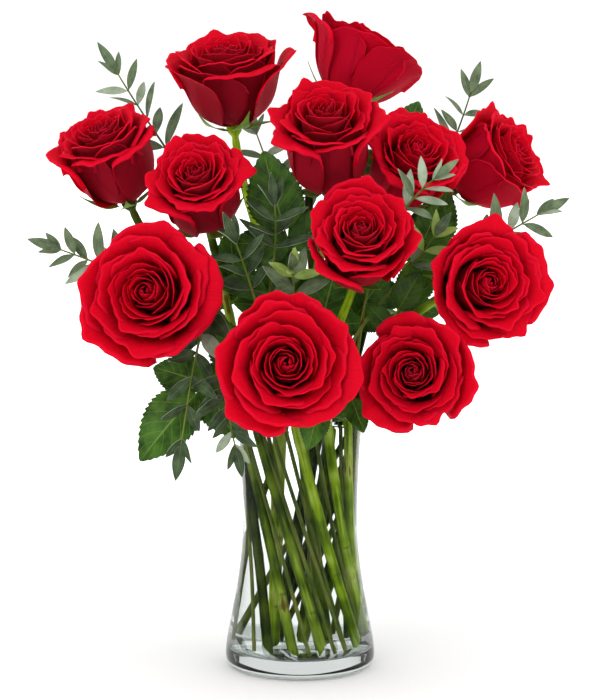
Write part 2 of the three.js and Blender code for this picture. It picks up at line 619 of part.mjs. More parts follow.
const twoDigits = (number) => String(number).padStart(2, '0');

add('vase', vase(), glass());
add('water', water([
  ...ROSES.map(({ mouth }) => ({ line: vaseLine(mouth), radius: ROSE_STEM_RADIUS, sides: STEM_SIDES })),
  ...SPRAYS.map(({ mouth }) => ({ line: vaseLine(mouth), radius: TWIG_RADIUS, sides: TWIG_SIDES })),
]), clear());
ROSES.forEach((rose, i) => {
  const number = i + 1;
  add(`rose_${twoDigits(number)}_bloom`, bloom(rose, number), red(), bloomFrame(rose));
  const leaves = ROSE_LEAVES.filter((leaf) => leaf.rose === number);
  add(`rose_${twoDigits(number)}_stem`, roseStem(rose, leaves), green());
});
SPRAYS.forEach((plan, i) => add(`eucalyptus_${twoDigits(i + 1)}`, spray(plan, i + 1), greyGreen()));

export default bouquet;
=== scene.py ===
"""A dozen red roses with small-leaved eucalyptus in a waisted glass vase of water, finished for rendering.

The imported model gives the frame. Every piece of the bouquet stands for one of its nodes, is worked out
from the same plan in millimetres, and is made into a mesh in metres.
"""

import math
from collections import namedtuple
from functools import partial

import bpy
import numpy as np
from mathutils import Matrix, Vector


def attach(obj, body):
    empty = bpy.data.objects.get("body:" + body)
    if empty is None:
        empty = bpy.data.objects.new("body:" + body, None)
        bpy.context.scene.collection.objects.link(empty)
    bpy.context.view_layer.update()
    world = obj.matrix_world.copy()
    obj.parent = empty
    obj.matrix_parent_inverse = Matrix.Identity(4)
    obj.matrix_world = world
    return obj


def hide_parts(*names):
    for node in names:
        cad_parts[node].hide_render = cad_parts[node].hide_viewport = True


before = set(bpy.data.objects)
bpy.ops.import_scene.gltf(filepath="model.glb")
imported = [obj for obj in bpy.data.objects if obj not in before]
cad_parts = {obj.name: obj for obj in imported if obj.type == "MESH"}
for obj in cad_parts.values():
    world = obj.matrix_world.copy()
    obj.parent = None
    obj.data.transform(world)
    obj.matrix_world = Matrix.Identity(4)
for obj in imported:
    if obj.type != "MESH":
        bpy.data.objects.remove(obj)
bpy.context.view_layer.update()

bl_info = {
    "name": "Roses in a Vase",
    "version": (1, 0, 0),
    "blender": (4, 5, 0),
    "location": "3D View > Sidebar > Bouquet",
    "description": "Builds red roses and eucalyptus in a glass vase, piece by piece",
    "category": "Add Mesh",
}

MM = 0.001

# ---- the plan, in millimetres and degrees

# Where each bloom's eye is, the way it opens, its radius and height, and where its stem stands in the
# vase: the angle at the mouth and the distance from the vase's axis at its waist
Rose = namedtuple("Rose", "eye axis radius height mouth")
ROSES = [
    Rose((-56, 46, 454), (-0.1, -0.36, 0.92), 46, 64, (120, 13)),
    Rose((53, 70, 462), (0.45, 0.1, 0.88), 50, 55, (50, 13)),
    Rose((-146, -5, 396), (-0.3, -0.45, 0.82), 38, 66, (150, 28)),
    Rose((-75, -53, 368), (-0.12, -0.76, 0.62), 36, 66, (178, 28)),
    Rose((17, -48, 411), (-0.04, -0.62, 0.78), 38, 76, (-95, 12)),
    Rose((86, -22, 384), (0.28, -0.7, 0.62), 37.5, 62, (0, 13)),
    Rose((162, 31, 381), (0.75, -0.42, 0.5), 38, 62, (28, 28)),
    Rose((-108, -88, 285), (-0.2, -0.95, 0.2), 50, 62, (-150, 28)),
    Rose((-9, -130, 240), (0.04, -0.97, 0.22), 50, 68, (-100, 28)),
    Rose((42, -96, 330), (0.03, -0.84, 0.54), 38.5, 62, (-65, 28)),
    Rose((134, -74, 289), (0.25, -0.94, 0.14), 45, 64, (-2, 28)),
    Rose((77, -99, 230), (-0.12, -0.96, 0.2), 40.5, 62, (-35, 28)),
]
EYE_LEVEL = 0.96  # height of the eye in a bloom, as a share of the bloom's
GOLDEN_ANGLE = math.radians(137.508)
LIP_DROP = 0.19  # of the outermost petals' lips under a bloom's top, as a share of its height
EDGE_ROWS = 0.86  # share of a petal's rows before its rolled edge
HIP_LENGTH = 12

# Compound leaves: the rose that bears each, how far up its stem's curve, the base and tip of the end
# leaflet, and the way its upper side looks
RoseLeaf = namedtuple("RoseLeaf", "rose at base tip face")
ROSE_LEAVES = [
    RoseLeaf(8, 0.3, (-74, -36, 206), (-116, -48, 162), (-0.3, -0.9, 0.5)),
    RoseLeaf(5, 0.55, (-11, -18, 322), (-27, -16, 378), (-0.2, -0.95, 0.2)),
    RoseLeaf(9, 0.2, (-24, -28, 277), (-59, -34, 288), (0.1, -0.6, 0.8)),
    RoseLeaf(6, 0.75, (68, 30, 371), (88, 30, 413), (0.3, -0.9, 0.3)),
    RoseLeaf(6, 0.5, (90, 0, 314), (102, -2, 343), (0, -0.9, 0.4)),
    RoseLeaf(12, 0.35, (70, -40, 267), (85, -44, 294), (0.1, -0.9, 0.4)),
    RoseLeaf(3, 0.45, (-92, 62, 290), (-134, 92, 302), (-0.3, 0.6, 0.8)),
    RoseLeaf(2, 0.4, (36, 92, 312), (52, 134, 334), (0, 0.2, 1)),
    RoseLeaf(7, 0.25, (84, 72, 258), (122, 108, 268), (0.3, 0.5, 0.8)),
    RoseLeaf(4, 0.5, (-46, 24, 271), (-53, 22, 319), (-0.3, -0.9, 0.3)),
    RoseLeaf(1, 0.3, (-12, 10, 269), (-21, 2, 318), (0.2, -0.95, 0.2)),
    RoseLeaf(5, 0.3, (15, -4, 254), (28, -10, 300), (0.2, -0.95, 0.2)),
    RoseLeaf(6, 0.3, (44, 14, 261), (64, 8, 292), (-0.2, -0.9, 0.3)),
    RoseLeaf(7, 0.5, (77, 22, 267), (97, 18, 303), (0.3, -0.9, 0.3)),
    RoseLeaf(7, 0.7, (95, 40, 307), (110, 36, 348), (0.2, -0.9, 0.3)),
    RoseLeaf(8, 0.15, (-43, -20, 220), (-62, -22, 260), (-0.3, -0.9, 0.3)),
    RoseLeaf(9, 0.1, (13, -62, 200), (6, -72, 172), (0, -0.9, 0.3)),
    RoseLeaf(12, 0.12, (36, -60, 206), (45, -70, 184), (0.1, -0.9, 0.3)),
]

# Sprays: the twig's tip and its direction there, where it stands at the mouth, its stiffness, the pairs
# of leaves, where on the curve they begin, their length, and their breadth as a share of it
Spray = namedtuple("Spray", "tip aim mouth stiffness pairs start leaf broad")
SPRAYS = [
    Spray((-136, 46, 436), (-0.5, -0.1, 0.85), (135, 30), 0.38, 6, 0.76, 33, 0.3),
    Spray((-176, 6, 307), (-0.9, -0.25, 0.35), (-166, 30), 0.38, 6, 0.72, 31, 0.36),
    Spray((-83, -79, 176), (-0.15, -0.15, -1), (-139, 30), 1.4, 8, 0.42, 34, 0.36),
    Spray((-45, -62, 316), (-0.3, -0.4, 0.85), (-114, 24), 0.38, 4, 0.7, 32, 0.34),
    Spray((-5, -80, 299), (0, -0.85, 0.5), (-80, 26), 0.38, 4, 0.74, 26, 0.4),
    Spray((130, 96, 420), (0.3, 0, 1), (48, 30), 0.38, 5, 0.78, 33, 0.32),
    Spray((94, -64, 361), (0.7, -0.3, 0.6), (-18, 28), 0.38, 4, 0.84, 28, 0.3),
    Spray((173, -5, 333), (0.85, -0.1, 0.5), (16, 30), 0.38, 5, 0.77, 32, 0.34),
    Spray((-34, 112, 390), (-0.3, 0.6, 0.8), (90, 30), 0.38, 5, 0.6, 32, 0.38),
    Spray((-45, -80, 174), (0.25, -0.1, -0.98), (-126, 30), 1.25, 7, 0.7, 29, 0.34),
    Spray((-18, -44, 342), (-0.1, -0.2, 1), (-150, 20), 0.38, 4, 0.79, 30, 0.3),
    Spray((96, -40, 320), (0.5, -0.3, 0.8), (-40, 24), 0.38, 3, 0.82, 26, 0.38),
]
PAIR_SPREAD = math.radians(52)  # of a leaf from its twig
TIP_LEAF = 0.8  # length of the single leaf at a twig's end, as a share of the first ones'
PAIR_TURN = 1.1  # radians round the twig from one pair to the next, and back
LIGHT = np.array([0.1, -0.92, 0.38])  # the leaves' upper sides turn to it

# Vase: radius and height up its outside, round its foot, and round the corner of its inside floor,
# where the height is over that floor
VASE_HEIGHT = 200
VASE_OUTSIDE = [
    (55, 9), (53.8, 21), (49.6, 43), (45.3, 67), (42.6, 92), (42, 115), (42.9, 142), (44.7, 171), (47.4, 198),
]
VASE_FOOT = [(47, 0), (51.8, 1.6), (54.4, 5)]
FLOOR_TOP = 12.5
FLOOR_CORNER = [(43, 0), (46.4, 1.4), (48.6, 5)]
WALL_START = FLOOR_TOP + 12  # height from which the inside follows the outside
RIM_DEPTH = 2
RIM_START = VASE_HEIGHT - RIM_DEPTH  # height at which the wall begins to round over

# In the vase, everything stands on straight lines that lean one way round it
LINE_BOTTOM = 14  # height of their lower ends
LINE_WAIST = 100  # height at which they come nearest to the vase's axis
LINE_LEAN = 0.28  # their run round the vase for each millimetre of height, on the outer ring
OUTER_RING = 28  # distance from the axis of the lines next to the glass


# ---- numbers


def lerp(low, high, share):
    return low + (high - low) * share


def ramp(x):
    """A smooth step, from 0 at 0 to 1 at 1."""
    x = np.clip(x, 0, 1)
    return x * x * (3 - 2 * x)


def draw(seed, index):
    """A repeatable draw from 0 to 1. An index is only a label, and each use has its own."""
    value = math.sin(seed * 12.9898 + index * 78.233) * 43758.5453
    return value - math.floor(value)


def unit(vector):
    vector = np.asarray(vector, float)
    return vector / np.linalg.norm(vector)


def lengths(points):
    """How far along a line each of its points lies."""
    return np.concatenate([[0], np.cumsum(np.linalg.norm(np.diff(points, axis=0), axis=1))])


def in_frame(placed, points):
    """Points given in a frame, which is a 4x4 matrix, as points of the plan."""
    return np.asarray(points, float) @ placed[:3, :3].T + placed[:3, 3]


def linear(colour):
    """An sRGB hex colour such as "#C8001C" as Blender's linear red, green, blue and alpha."""
    shares = [int(colour[i : i + 2], 16) / 255 for i in (1, 3, 5)]
    return (*[s / 12.92 if s <= 0.04045 else ((s + 0.055) / 1.055) ** 2.4 for s in shares], 1)


# ---- forms


class Form:
    """A piece as it is put together: points in millimetres, faces, and each one's finish and map."""

    def __init__(self):
        self.points, self.maps, self.faces, self.finishes = [], [], [], []
        self.count = 0

    def add(self, points, faces, finishes, maps=None):
        """faces is a list of arrays, each of triangles or of quads; finishes has a number for each."""
        points = points.reshape(-1, 3)
        self.points.append(points)
        self.maps.append(np.zeros((len(points), 2)) if maps is None else maps.reshape(-1, 2))
        for block, finish in zip(faces, finishes):
            self.faces.append(np.asarray(block, int) + self.count)
            self.finishes.append(np.full(len(block), finish))
        self.count += len(points)

    def make(self, name, materials, placed=None):
        """The finished object, smooth all over, in metres. Its points first go through the matrix
        placed, if there is one."""
        points = np.concatenate(self.points)
        if placed is not None:
            points = in_frame(placed, points)
        corners = np.concatenate([block.ravel() for block in self.faces])
        sizes = np.concatenate([np.full(len(block), block.shape[1]) for block in self.faces])
        mesh = bpy.data.meshes.new(name)
        mesh.vertices.add(len(points))
        mesh.vertices.foreach_set("co", (points * MM).astype(np.float32).ravel())
        mesh.loops.add(len(corners))
        mesh.loops.foreach_set("vertex_index", corners.astype(np.int32))
        mesh.polygons.add(len(sizes))
        mesh.polygons.foreach_set("loop_start", (np.cumsum(sizes) - sizes).astype(np.int32))
        mesh.polygons.foreach_set("material_index", np.concatenate(self.finishes).astype(np.int32))
        mesh.polygons.foreach_set("use_smooth", np.ones(len(sizes), bool))
        layer = mesh.uv_layers.new(name="form")
        layer.data.foreach_set("uv", np.concatenate(self.maps)[corners].astype(np.float32).ravel())
        mesh.update(calc_edges=True)
        mesh.validate()
        for material in materials:
            mesh.materials.append(material)
        piece = bpy.data.objects.new(name, mesh)
        bpy.context.scene.collection.objects.link(piece)
        return piece


def grid_faces(rows, columns):
    index = np.arange(rows * columns).reshape(rows, columns)
    return np.stack([index[:-1, :-1], index[1:, :-1], index[1:, 1:], index[:-1, 1:]], -1).reshape(-1, 4)


def grid_map(across, along):
    """The map of a sheet: places across it from -1 to 1, and along it from 0 to 1."""
    return np.stack(np.broadcast_arrays(across, along), -1)


def add_sheet(form, front, thickness, finishes, maps):
    """A closed sheet from a grid of front points (across, along); it lies between them and its back."""
    across, along = front.shape[:2]
    normal = np.cross(np.gradient(front, axis=0), np.gradient(front, axis=1))
    normal /= np.maximum(np.linalg.norm(normal, axis=2, keepdims=True), 1e-9)
    back = front + normal * np.asarray(thickness)[..., None]
    count = across * along
    index = np.arange(count).reshape(across, along)
    loop = np.concatenate([index[:, 0], index[-1, 1:], index[-2::-1, -1], index[0, -2:0:-1]])
    after = np.roll(loop, -1)
    rim = np.stack([loop, after, after + count, loop + count], 1)
    face = grid_faces(across, along)
    points = np.concatenate([front.reshape(-1, 3), back.reshape(-1, 3)])
    both = np.concatenate([maps.reshape(-1, 2)] * 2)
    form.add(points, [face[:, ::-1], face + count, rim], [finishes[0], finishes[1], finishes[0]], both)


def ring_faces(count, sides):
    """A body's points by ring, each point's neighbour in its ring, and the quads between the rings."""
    index = np.arange(count).reshape(-1, sides)
    nearby = np.roll(index, -1, axis=1)
    walls = np.stack([index[:-1], nearby[:-1], nearby[1:], index[1:]], -1).reshape(-1, 4)
    return index, nearby, walls


END_BULGE = 0.4  # of a tube's far end, as a share of its radius there


def add_tube(form, points, radii, sides, finish, cut=None, step=100, shift=0):
    """A closed tube through points; its section keeps from turning. Its map is (share round, length in
    steps of that many millimetres, from a shift). Its start can be cut on a slant, as (slant, turn of
    the slant, finish of the cut)."""
    points = np.asarray(points, float)
    along = np.gradient(points, axis=0)
    along /= np.linalg.norm(along, axis=1, keepdims=True)
    side = unit(np.cross(along[0], (1, 0, 0)))
    angles = np.linspace(0, 2 * math.pi, sides, endpoint=False)
    rings = []
    for point, way, radius in zip(points, along, radii):
        side = unit(side - way * side.dot(way))
        other = np.cross(way, side)
        rings.append(point + radius * (np.cos(angles)[:, None] * side + np.sin(angles)[:, None] * other))
    rings = np.array(rings)
    if cut:
        rings[0] += np.outer(np.cos(angles + cut[1]) * cut[0], along[0])
    count = rings.shape[0] * sides
    index, nearby, walls = ring_faces(count, sides)
    end = np.stack([np.full(sides, count), index[-1], nearby[-1]], 1)
    middle = rings[-1].mean(0) + along[-1] * radii[-1] * END_BULGE
    length = (lengths(points) + shift) / step
    maps = np.stack(np.broadcast_arrays(angles[None, :] / (2 * math.pi), length[:, None]), -1).reshape(-1, 2)
    form.add(np.concatenate([rings.reshape(-1, 3), [middle]]), [walls, end], [finish, finish],
             np.concatenate([maps, [(0, length[-1])]]))
    ring = np.arange(sides)
    fan = np.stack([np.full(sides, sides), np.roll(ring, -1), ring], 1)
    form.add(np.concatenate([rings[0], [rings[0].mean(0)]]), [fan], [cut[2] if cut else finish])


def add_lathe(form, profile, sides, finish=lambda height: 0):
    """A closed body of revolution; the profile starts and ends on the axis. A band's finish goes by the
    height of its upper edge, and that of both end caps by the profile's start."""
    profile = np.asarray(profile, float)
    inner = profile[1:-1]
    angles = np.linspace(0, 2 * math.pi, sides, endpoint=False)
    rings = np.stack([
        inner[:, :1] * np.cos(angles), inner[:, :1] * np.sin(angles), np.repeat(inner[:, 1:], sides, 1),
    ], -1)
    count = rings.shape[0] * sides
    index, nearby, walls = ring_faces(count, sides)
    bands = np.repeat([finish(max(pair)) for pair in zip(inner[:-1, 1], inner[1:, 1])], sides)
    caps = np.concatenate([
        np.stack([np.full(sides, count), nearby[0], index[0]], 1),
        np.stack([np.full(sides, count + 1), index[-1], nearby[-1]], 1),
    ])
    ends = [(0, 0, profile[0][1]), (0, 0, profile[-1][1])]
    form.add(np.concatenate([rings.reshape(-1, 3), ends]), [walls, caps], [bands, finish(profile[0][1])])


def flat_form(corners):
    """A flat piece with four corners."""
    form = Form()
    form.add(np.array(corners, float), [[[0, 1, 2, 3]]], [0])
    return form


def bezier(poles, s):
    """Points at shares of a quadratic or cubic curve."""
    poles = [np.asarray(p, float) for p in poles]
    s = np.asarray(s, float)[..., None]
    if len(poles) == 3:
        return (1 - s) ** 2 * poles[0] + 2 * (1 - s) * s * poles[1] + s**2 * poles[2]
    return ((1 - s) ** 3 * poles[0] + 3 * (1 - s) ** 2 * s * poles[1]
            + 3 * (1 - s) * s**2 * poles[2] + s**3 * poles[3])


# ---- materials


def add_node(tree, kind, inputs=None, **settings):
    """One node. Each input is a value, the socket that feeds it, or a node whose first output does."""
    node = tree.nodes.new("ShaderNode" + kind)
    for name, value in settings.items():
        setattr(node, name, value)
    for name, value in (inputs or {}).items():
        if isinstance(value, bpy.types.Node):
            value = value.outputs[0]
        if isinstance(value, bpy.types.NodeSocket):
            tree.links.new(value, node.inputs[name])
        else:
            node.inputs[name].default_value = value
    return node


def new_material(name):
    """An empty material, and the function that adds a node to it."""
    material = bpy.data.materials.new(name)
    material.use_nodes = True
    material.node_tree.nodes.clear()
    return material, partial(add_node, material.node_tree)


def mapped_material(name):
    """The same, with the map of the form, that map's axes, and places on the object."""
    material, add = new_material(name)
    form = add("UVMap", uv_map="form")
    return material, add, form, add("SeparateXYZ", {"Vector": form}), add("TexCoord").outputs["Object"]


def set_stops(ramp_node, stops):
    """Colours along a ramp node: a list of (place, hex colour or linear colour)."""
    elements = ramp_node.color_ramp.elements
    while len(elements) > 1:
        elements.remove(elements[-1])
    for i, (place, colour) in enumerate(stops):
        element = elements[0] if i == 0 else elements.new(place)
        element.position = place
        element.color = linear(colour) if isinstance(colour, str) else tuple(colour)


def fade(add, value, start, end, first=1.0, last=0.0):
    """An amount that goes smoothly from first to last, as the value goes from start to end."""
    return add("MapRange", {
        "Value": value, "From Min": start, "From Max": end, "To Min": first, "To Max": last,
    }, interpolation_type="SMOOTHSTEP")


def cells(size):
    """The scale of a pattern whose cells are that many millimetres, on coordinates in metres."""
    return 1 / (size * MM)


PETAL_SIZE = (34, 55)  # half an outer petal's width, and its length, in which its map runs from 0 to 1
VEIN_CELL = (1, 25)  # across and along; real veins are finer, and wouldn't show


def petal_material(name, deep, full, lip, sheen):
    """Rose petal: a thin velvety skin of tiny cones, so light glows at grazing angles and never glares.
    Its colour is deeper at its root, partly its own and partly painted shade deep in the bloom, and lighter
    at its lip, a painted highlight on the rolled edge; fine veins run up it."""
    material, add, form, axes, place = mapped_material(name)
    blotch = add("TexNoise", {"Vector": place, "Scale": cells(14), "Detail": 3.0, "Roughness": 0.55})
    shifted = add("Math", {0: blotch, 1: 0.16, 2: axes.outputs["Y"]}, operation="MULTIPLY_ADD")
    tone = add("ValToRGB", {"Fac": shifted})
    # The lip stop is a painted highlight along the rolled edge; the deep root stop is partly painted shade
    set_stops(tone, [(0.05, deep), (0.5, full), (0.98, full), (1.0, lip)])
    stretch = [size / cell for size, cell in zip(PETAL_SIZE, VEIN_CELL)]
    stretched = add("Mapping", {"Vector": form, "Scale": (*stretch, 1.0)})
    veins = add("TexNoise", {"Vector": stretched, "Scale": 1.0, "Detail": 4.0, "Roughness": 0.6})
    shade = add("ValToRGB", {"Fac": veins})
    set_stops(shade, [(0.3, "#E0E0E0"), (0.62, "#FFFFFF")])
    colour = add("Mix", {0: 0.55, 6: tone, 7: shade}, data_type="RGBA", blend_type="MULTIPLY")
    height = add("Math", {0: veins, 1: blotch}, operation="ADD")
    bump = add("Bump", {"Height": height, "Strength": 0.35, "Distance": 0.5 * MM})
    skin = add("BsdfPrincipled", {
        "Base Color": colour.outputs[2], "Normal": bump, "Roughness": 0.7, "IOR": 1.4,
        "Specular IOR Level": 0.06, "Subsurface Weight": 0.35, "Subsurface Radius": (1.0, 0.12, 0.12),
        "Subsurface Scale": 2.5 * MM, "Sheen Weight": sheen, "Sheen Roughness": 0.45,
        "Sheen Tint": linear("#FF3C46")})
    add("OutputMaterial", {"Surface": skin})
    return material


VEIN_LEAN = 0.28  # of side veins to a leaf's tip: what they gain of its length on the way to its edge


def leaf_material(name, dark, light, vein, roughness, vein_pairs, strength=0.5):
    """A leaf blade: a pale midrib with side veins that lean to the tip, and a slightly blotched green."""
    material, add, _, axes, place = mapped_material(name)
    across = add("Math", {0: axes.outputs["X"]}, operation="ABSOLUTE")
    blotch = add("TexNoise", {"Vector": place, "Scale": cells(9), "Detail": 4.0})
    tone = add("ValToRGB", {"Fac": blotch})
    set_stops(tone, [(0.3, dark), (0.72, light)])
    lean = add("Math", {0: across, 1: -VEIN_LEAN, 2: axes.outputs["Y"]}, operation="MULTIPLY_ADD")
    wave = add("Math", {0: lean, 1: vein_pairs}, operation="MULTIPLY")
    ridge = add("Math", {0: wave, 1: 0.5}, operation="PINGPONG")
    side = fade(add, ridge, 0.0, 0.07)
    rib = fade(add, across, 0.015, 0.055)
    side_soft = add("Math", {0: side, 1: 0.55}, operation="MULTIPLY")
    veins = add("Math", {0: side_soft, 1: rib}, operation="MAXIMUM")
    faded = add("Math", {0: veins, 1: strength}, operation="MULTIPLY")
    colour = add("Mix", {0: faded, 6: tone, 7: linear(vein)}, data_type="RGBA")
    relief = add("Math", {0: veins, 1: -1.0, 2: blotch}, operation="MULTIPLY_ADD")
    bump = add("Bump", {"Height": relief, "Strength": 0.4, "Distance": 0.4 * MM})
    skin = add("BsdfPrincipled", {
        "Base Color": colour.outputs[2], "Normal": bump, "Roughness": roughness, "IOR": 1.45,
        "Specular IOR Level": 0.2})
    add("OutputMaterial", {"Surface": skin})
    return material


def stalk_material(name, stops, streaks_round, roughness):
    """A green stalk: a waxy rind with so many lengthwise streaks round it, browner patches, and a scar
    on one side at each joint. The streaks are light and dark bands of painted light and painted shade that
    stand for lit and shaded sides, and their bump for ridges. Five streaks round a stem are 4 mm wide,
    coarser than the real ridges."""
    material, add, _, axes, place = mapped_material(name)
    half_round = add("Math", {0: axes.outputs["X"], 1: 0.5}, operation="PINGPONG")
    own = add("ObjectInfo")
    lengthwise = add("CombineXYZ", {"X": half_round, "Y": axes.outputs["Y"], "Z": own.outputs["Random"]})
    stretched = add("Mapping", {"Vector": lengthwise, "Scale": (streaks_round, 0.8, 9.0)})
    # Light and dark bands round the stalk: painted light and painted shade on its sides, and the relief of
    # its ridges
    streaks = add("TexNoise", {"Vector": stretched, "Scale": 1.0, "Detail": 4.0, "Roughness": 0.6})
    patches = add("TexNoise", {"Vector": place, "Scale": cells(26), "Detail": 2.0})
    both = add("Math", {0: streaks, 1: 1.1, 2: patches}, operation="MULTIPLY_ADD")
    spread = add("MapRange", {"Value": both, "From Min": 0.75, "From Max": 1.35})
    tone = add("ValToRGB", {"Fac": spread})
    set_stops(tone, stops)
    joint = add("Math", {0: axes.outputs["Y"], 1: 0.5}, operation="PINGPONG")
    scar = fade(add, joint, 0.005, 0.03)
    # Each scar is turned on from the one below by 0.38 of the way round, as leaves are
    number = add("Math", {0: axes.outputs["Y"]}, operation="ROUND")
    turned_on = add("Math", {0: number, 1: 0.38, 2: axes.outputs["X"]}, operation="MULTIPLY_ADD")
    side = add("Math", {0: turned_on, 1: 0.5}, operation="PINGPONG")
    facing = fade(add, side, 0.1, 0.22, first=0.5)
    worn = add("Math", {0: scar, 1: facing}, operation="MULTIPLY")
    colour = add("Mix", {0: worn, 6: tone, 7: linear("#3A2C12")}, data_type="RGBA")
    bump = add("Bump", {"Height": streaks, "Strength": 0.4, "Distance": 0.3 * MM})
    rind = add("BsdfPrincipled", {
        "Base Color": colour.outputs[2], "Normal": bump, "Roughness": roughness, "IOR": 1.45,
        "Specular IOR Level": 0.04})
    add("OutputMaterial", {"Surface": rind})
    return material


def clear_material(name, colour, ior, shadow, shine):
    """A clear body that bends what is seen through it. Lamps reach through it, a little dimmed."""
    material, add = new_material(name)
    body = add("BsdfPrincipled", {
        "Base Color": colour, "Roughness": 0.0, "IOR": ior, "Transmission Weight": 1.0,
        "Specular Tint": linear(shine)})
    through = add("BsdfTransparent", {"Color": linear(shadow)})
    path = add("LightPath")
    both = add("MixShader", {0: path.outputs["Is Shadow Ray"], 1: body, 2: through})
    add("OutputMaterial", {"Surface": both})
    return material


def paper_material(name, colour):
    """Studio paper: matt, with a faint tooth that breaks up the contact shadow, and lit from behind
    away from the vase, so that it meets the white room without an edge. Its tooth is drawn at 3 mm,
    coarser than the real one's, so that it shows."""
    material, add = new_material(name)
    place = add("TexCoord").outputs["Object"]
    tooth = add("TexNoise", {"Vector": place, "Scale": cells(3), "Detail": 3.0})
    bump = add("Bump", {"Height": tooth, "Strength": 0.1, "Distance": 0.1 * MM})
    reach = add("VectorMath", {0: place}, operation="LENGTH")
    glow = fade(add, reach.outputs["Value"], 0.1, 1.2, first=0.0, last=0.6)
    sheet = add("BsdfPrincipled", {
        "Base Color": colour, "Normal": bump, "Roughness": 0.9, "Specular IOR Level": 0.1,
        "Emission Color": linear("#FFFFFF"), "Emission Strength": glow})
    add("OutputMaterial", {"Surface": sheet})
    return material


def flag_material(name):
    """Black velvet on a studio flag: it gives back no light at all."""
    material, add = new_material(name)
    cloth = add("BsdfPrincipled", {
        "Base Color": linear("#050505"), "Roughness": 1.0, "Specular IOR Level": 0.0})
    add("OutputMaterial", {"Surface": cloth})
    return material


def studio_world(strength):
    """A white room that lights everything evenly from all round."""
    world = bpy.data.worlds.new("studio_daylight")
    world.use_nodes = True
    tree = world.node_tree
    tree.nodes.clear()
    sky = add_node(tree, "Background", {"Color": linear("#FFFFFF"), "Strength": strength})
    add_node(tree, "OutputWorld", {"Surface": sky})
    return world


# ---- stems in the vase


def vase_line(mouth):
    """The straight line that meets the vase's mouth at an angle, as a function from height to point."""
    angle, ring = mouth
    lean = LINE_LEAN * (ring / OUTER_RING)
    waist = math.radians(angle) + math.atan2(lean * (VASE_HEIGHT - LINE_WAIST), ring)

    def point(height):
        away = lean * (height - LINE_WAIST)
        return np.array([
            ring * math.cos(waist) + away * math.sin(waist),
            ring * math.sin(waist) - away * math.cos(waist),
            height,
        ])

    return point


def climb(line, end, aim, stiffness=0.38):
    """The poles of the curve from the vase's mouth, where a line leaves it, to an end and its direction."""
    mouth = line(VASE_HEIGHT)
    lean = unit(line(VASE_HEIGHT) - line(VASE_HEIGHT - 1))
    far = stiffness * np.linalg.norm(mouth - end)
    return [mouth, mouth + lean * far, end - aim * far, end]


def bloom_frame(rose):
    """The bloom's own frame as a 4x4 matrix: +Z the way it opens, its origin on top of its hip."""
    axis = unit(rose.axis)
    side = unit(np.cross((0, 0, 1), axis))
    placed = np.eye(4)
    placed[:3, :3] = np.stack([side, np.cross(axis, side), axis], 1)
    placed[:3, 3] = np.array(rose.eye) - EYE_LEVEL * rose.height * axis
    return placed


# ---- blooms


def petal_middle(rose, t, lip, flare, s):
    """A petal's middle line and its slope at shares of its length, as (radius, height). It is a cubic
    curve from its base to its lip; t is 1 for the outermost petal and 0 for the innermost."""
    base = np.array([lerp(0.6, 5, t), lerp(3, 0.3, t)])
    start = math.radians(lerp(12, 76, t))
    end = math.radians(lerp(-38, 68, t**0.65) + flare)
    belly, reach = lerp(0.42, 0.6, t) * rose.height, lerp(0.25, 0.36, t) * rose.height
    poles = [
        base,
        base + belly * np.array([math.sin(start), math.cos(start)]),
        lip - reach * np.array([math.sin(end), math.cos(end)]),
        lip,
    ]
    line = bezier(poles, s)
    slope = line - bezier(poles, s - 0.01)
    return line, slope / np.linalg.norm(slope, axis=-1, keepdims=True)


WIDTHS_FOR_RADIUS = 48  # radius of the bloom for which the widths of petals are given


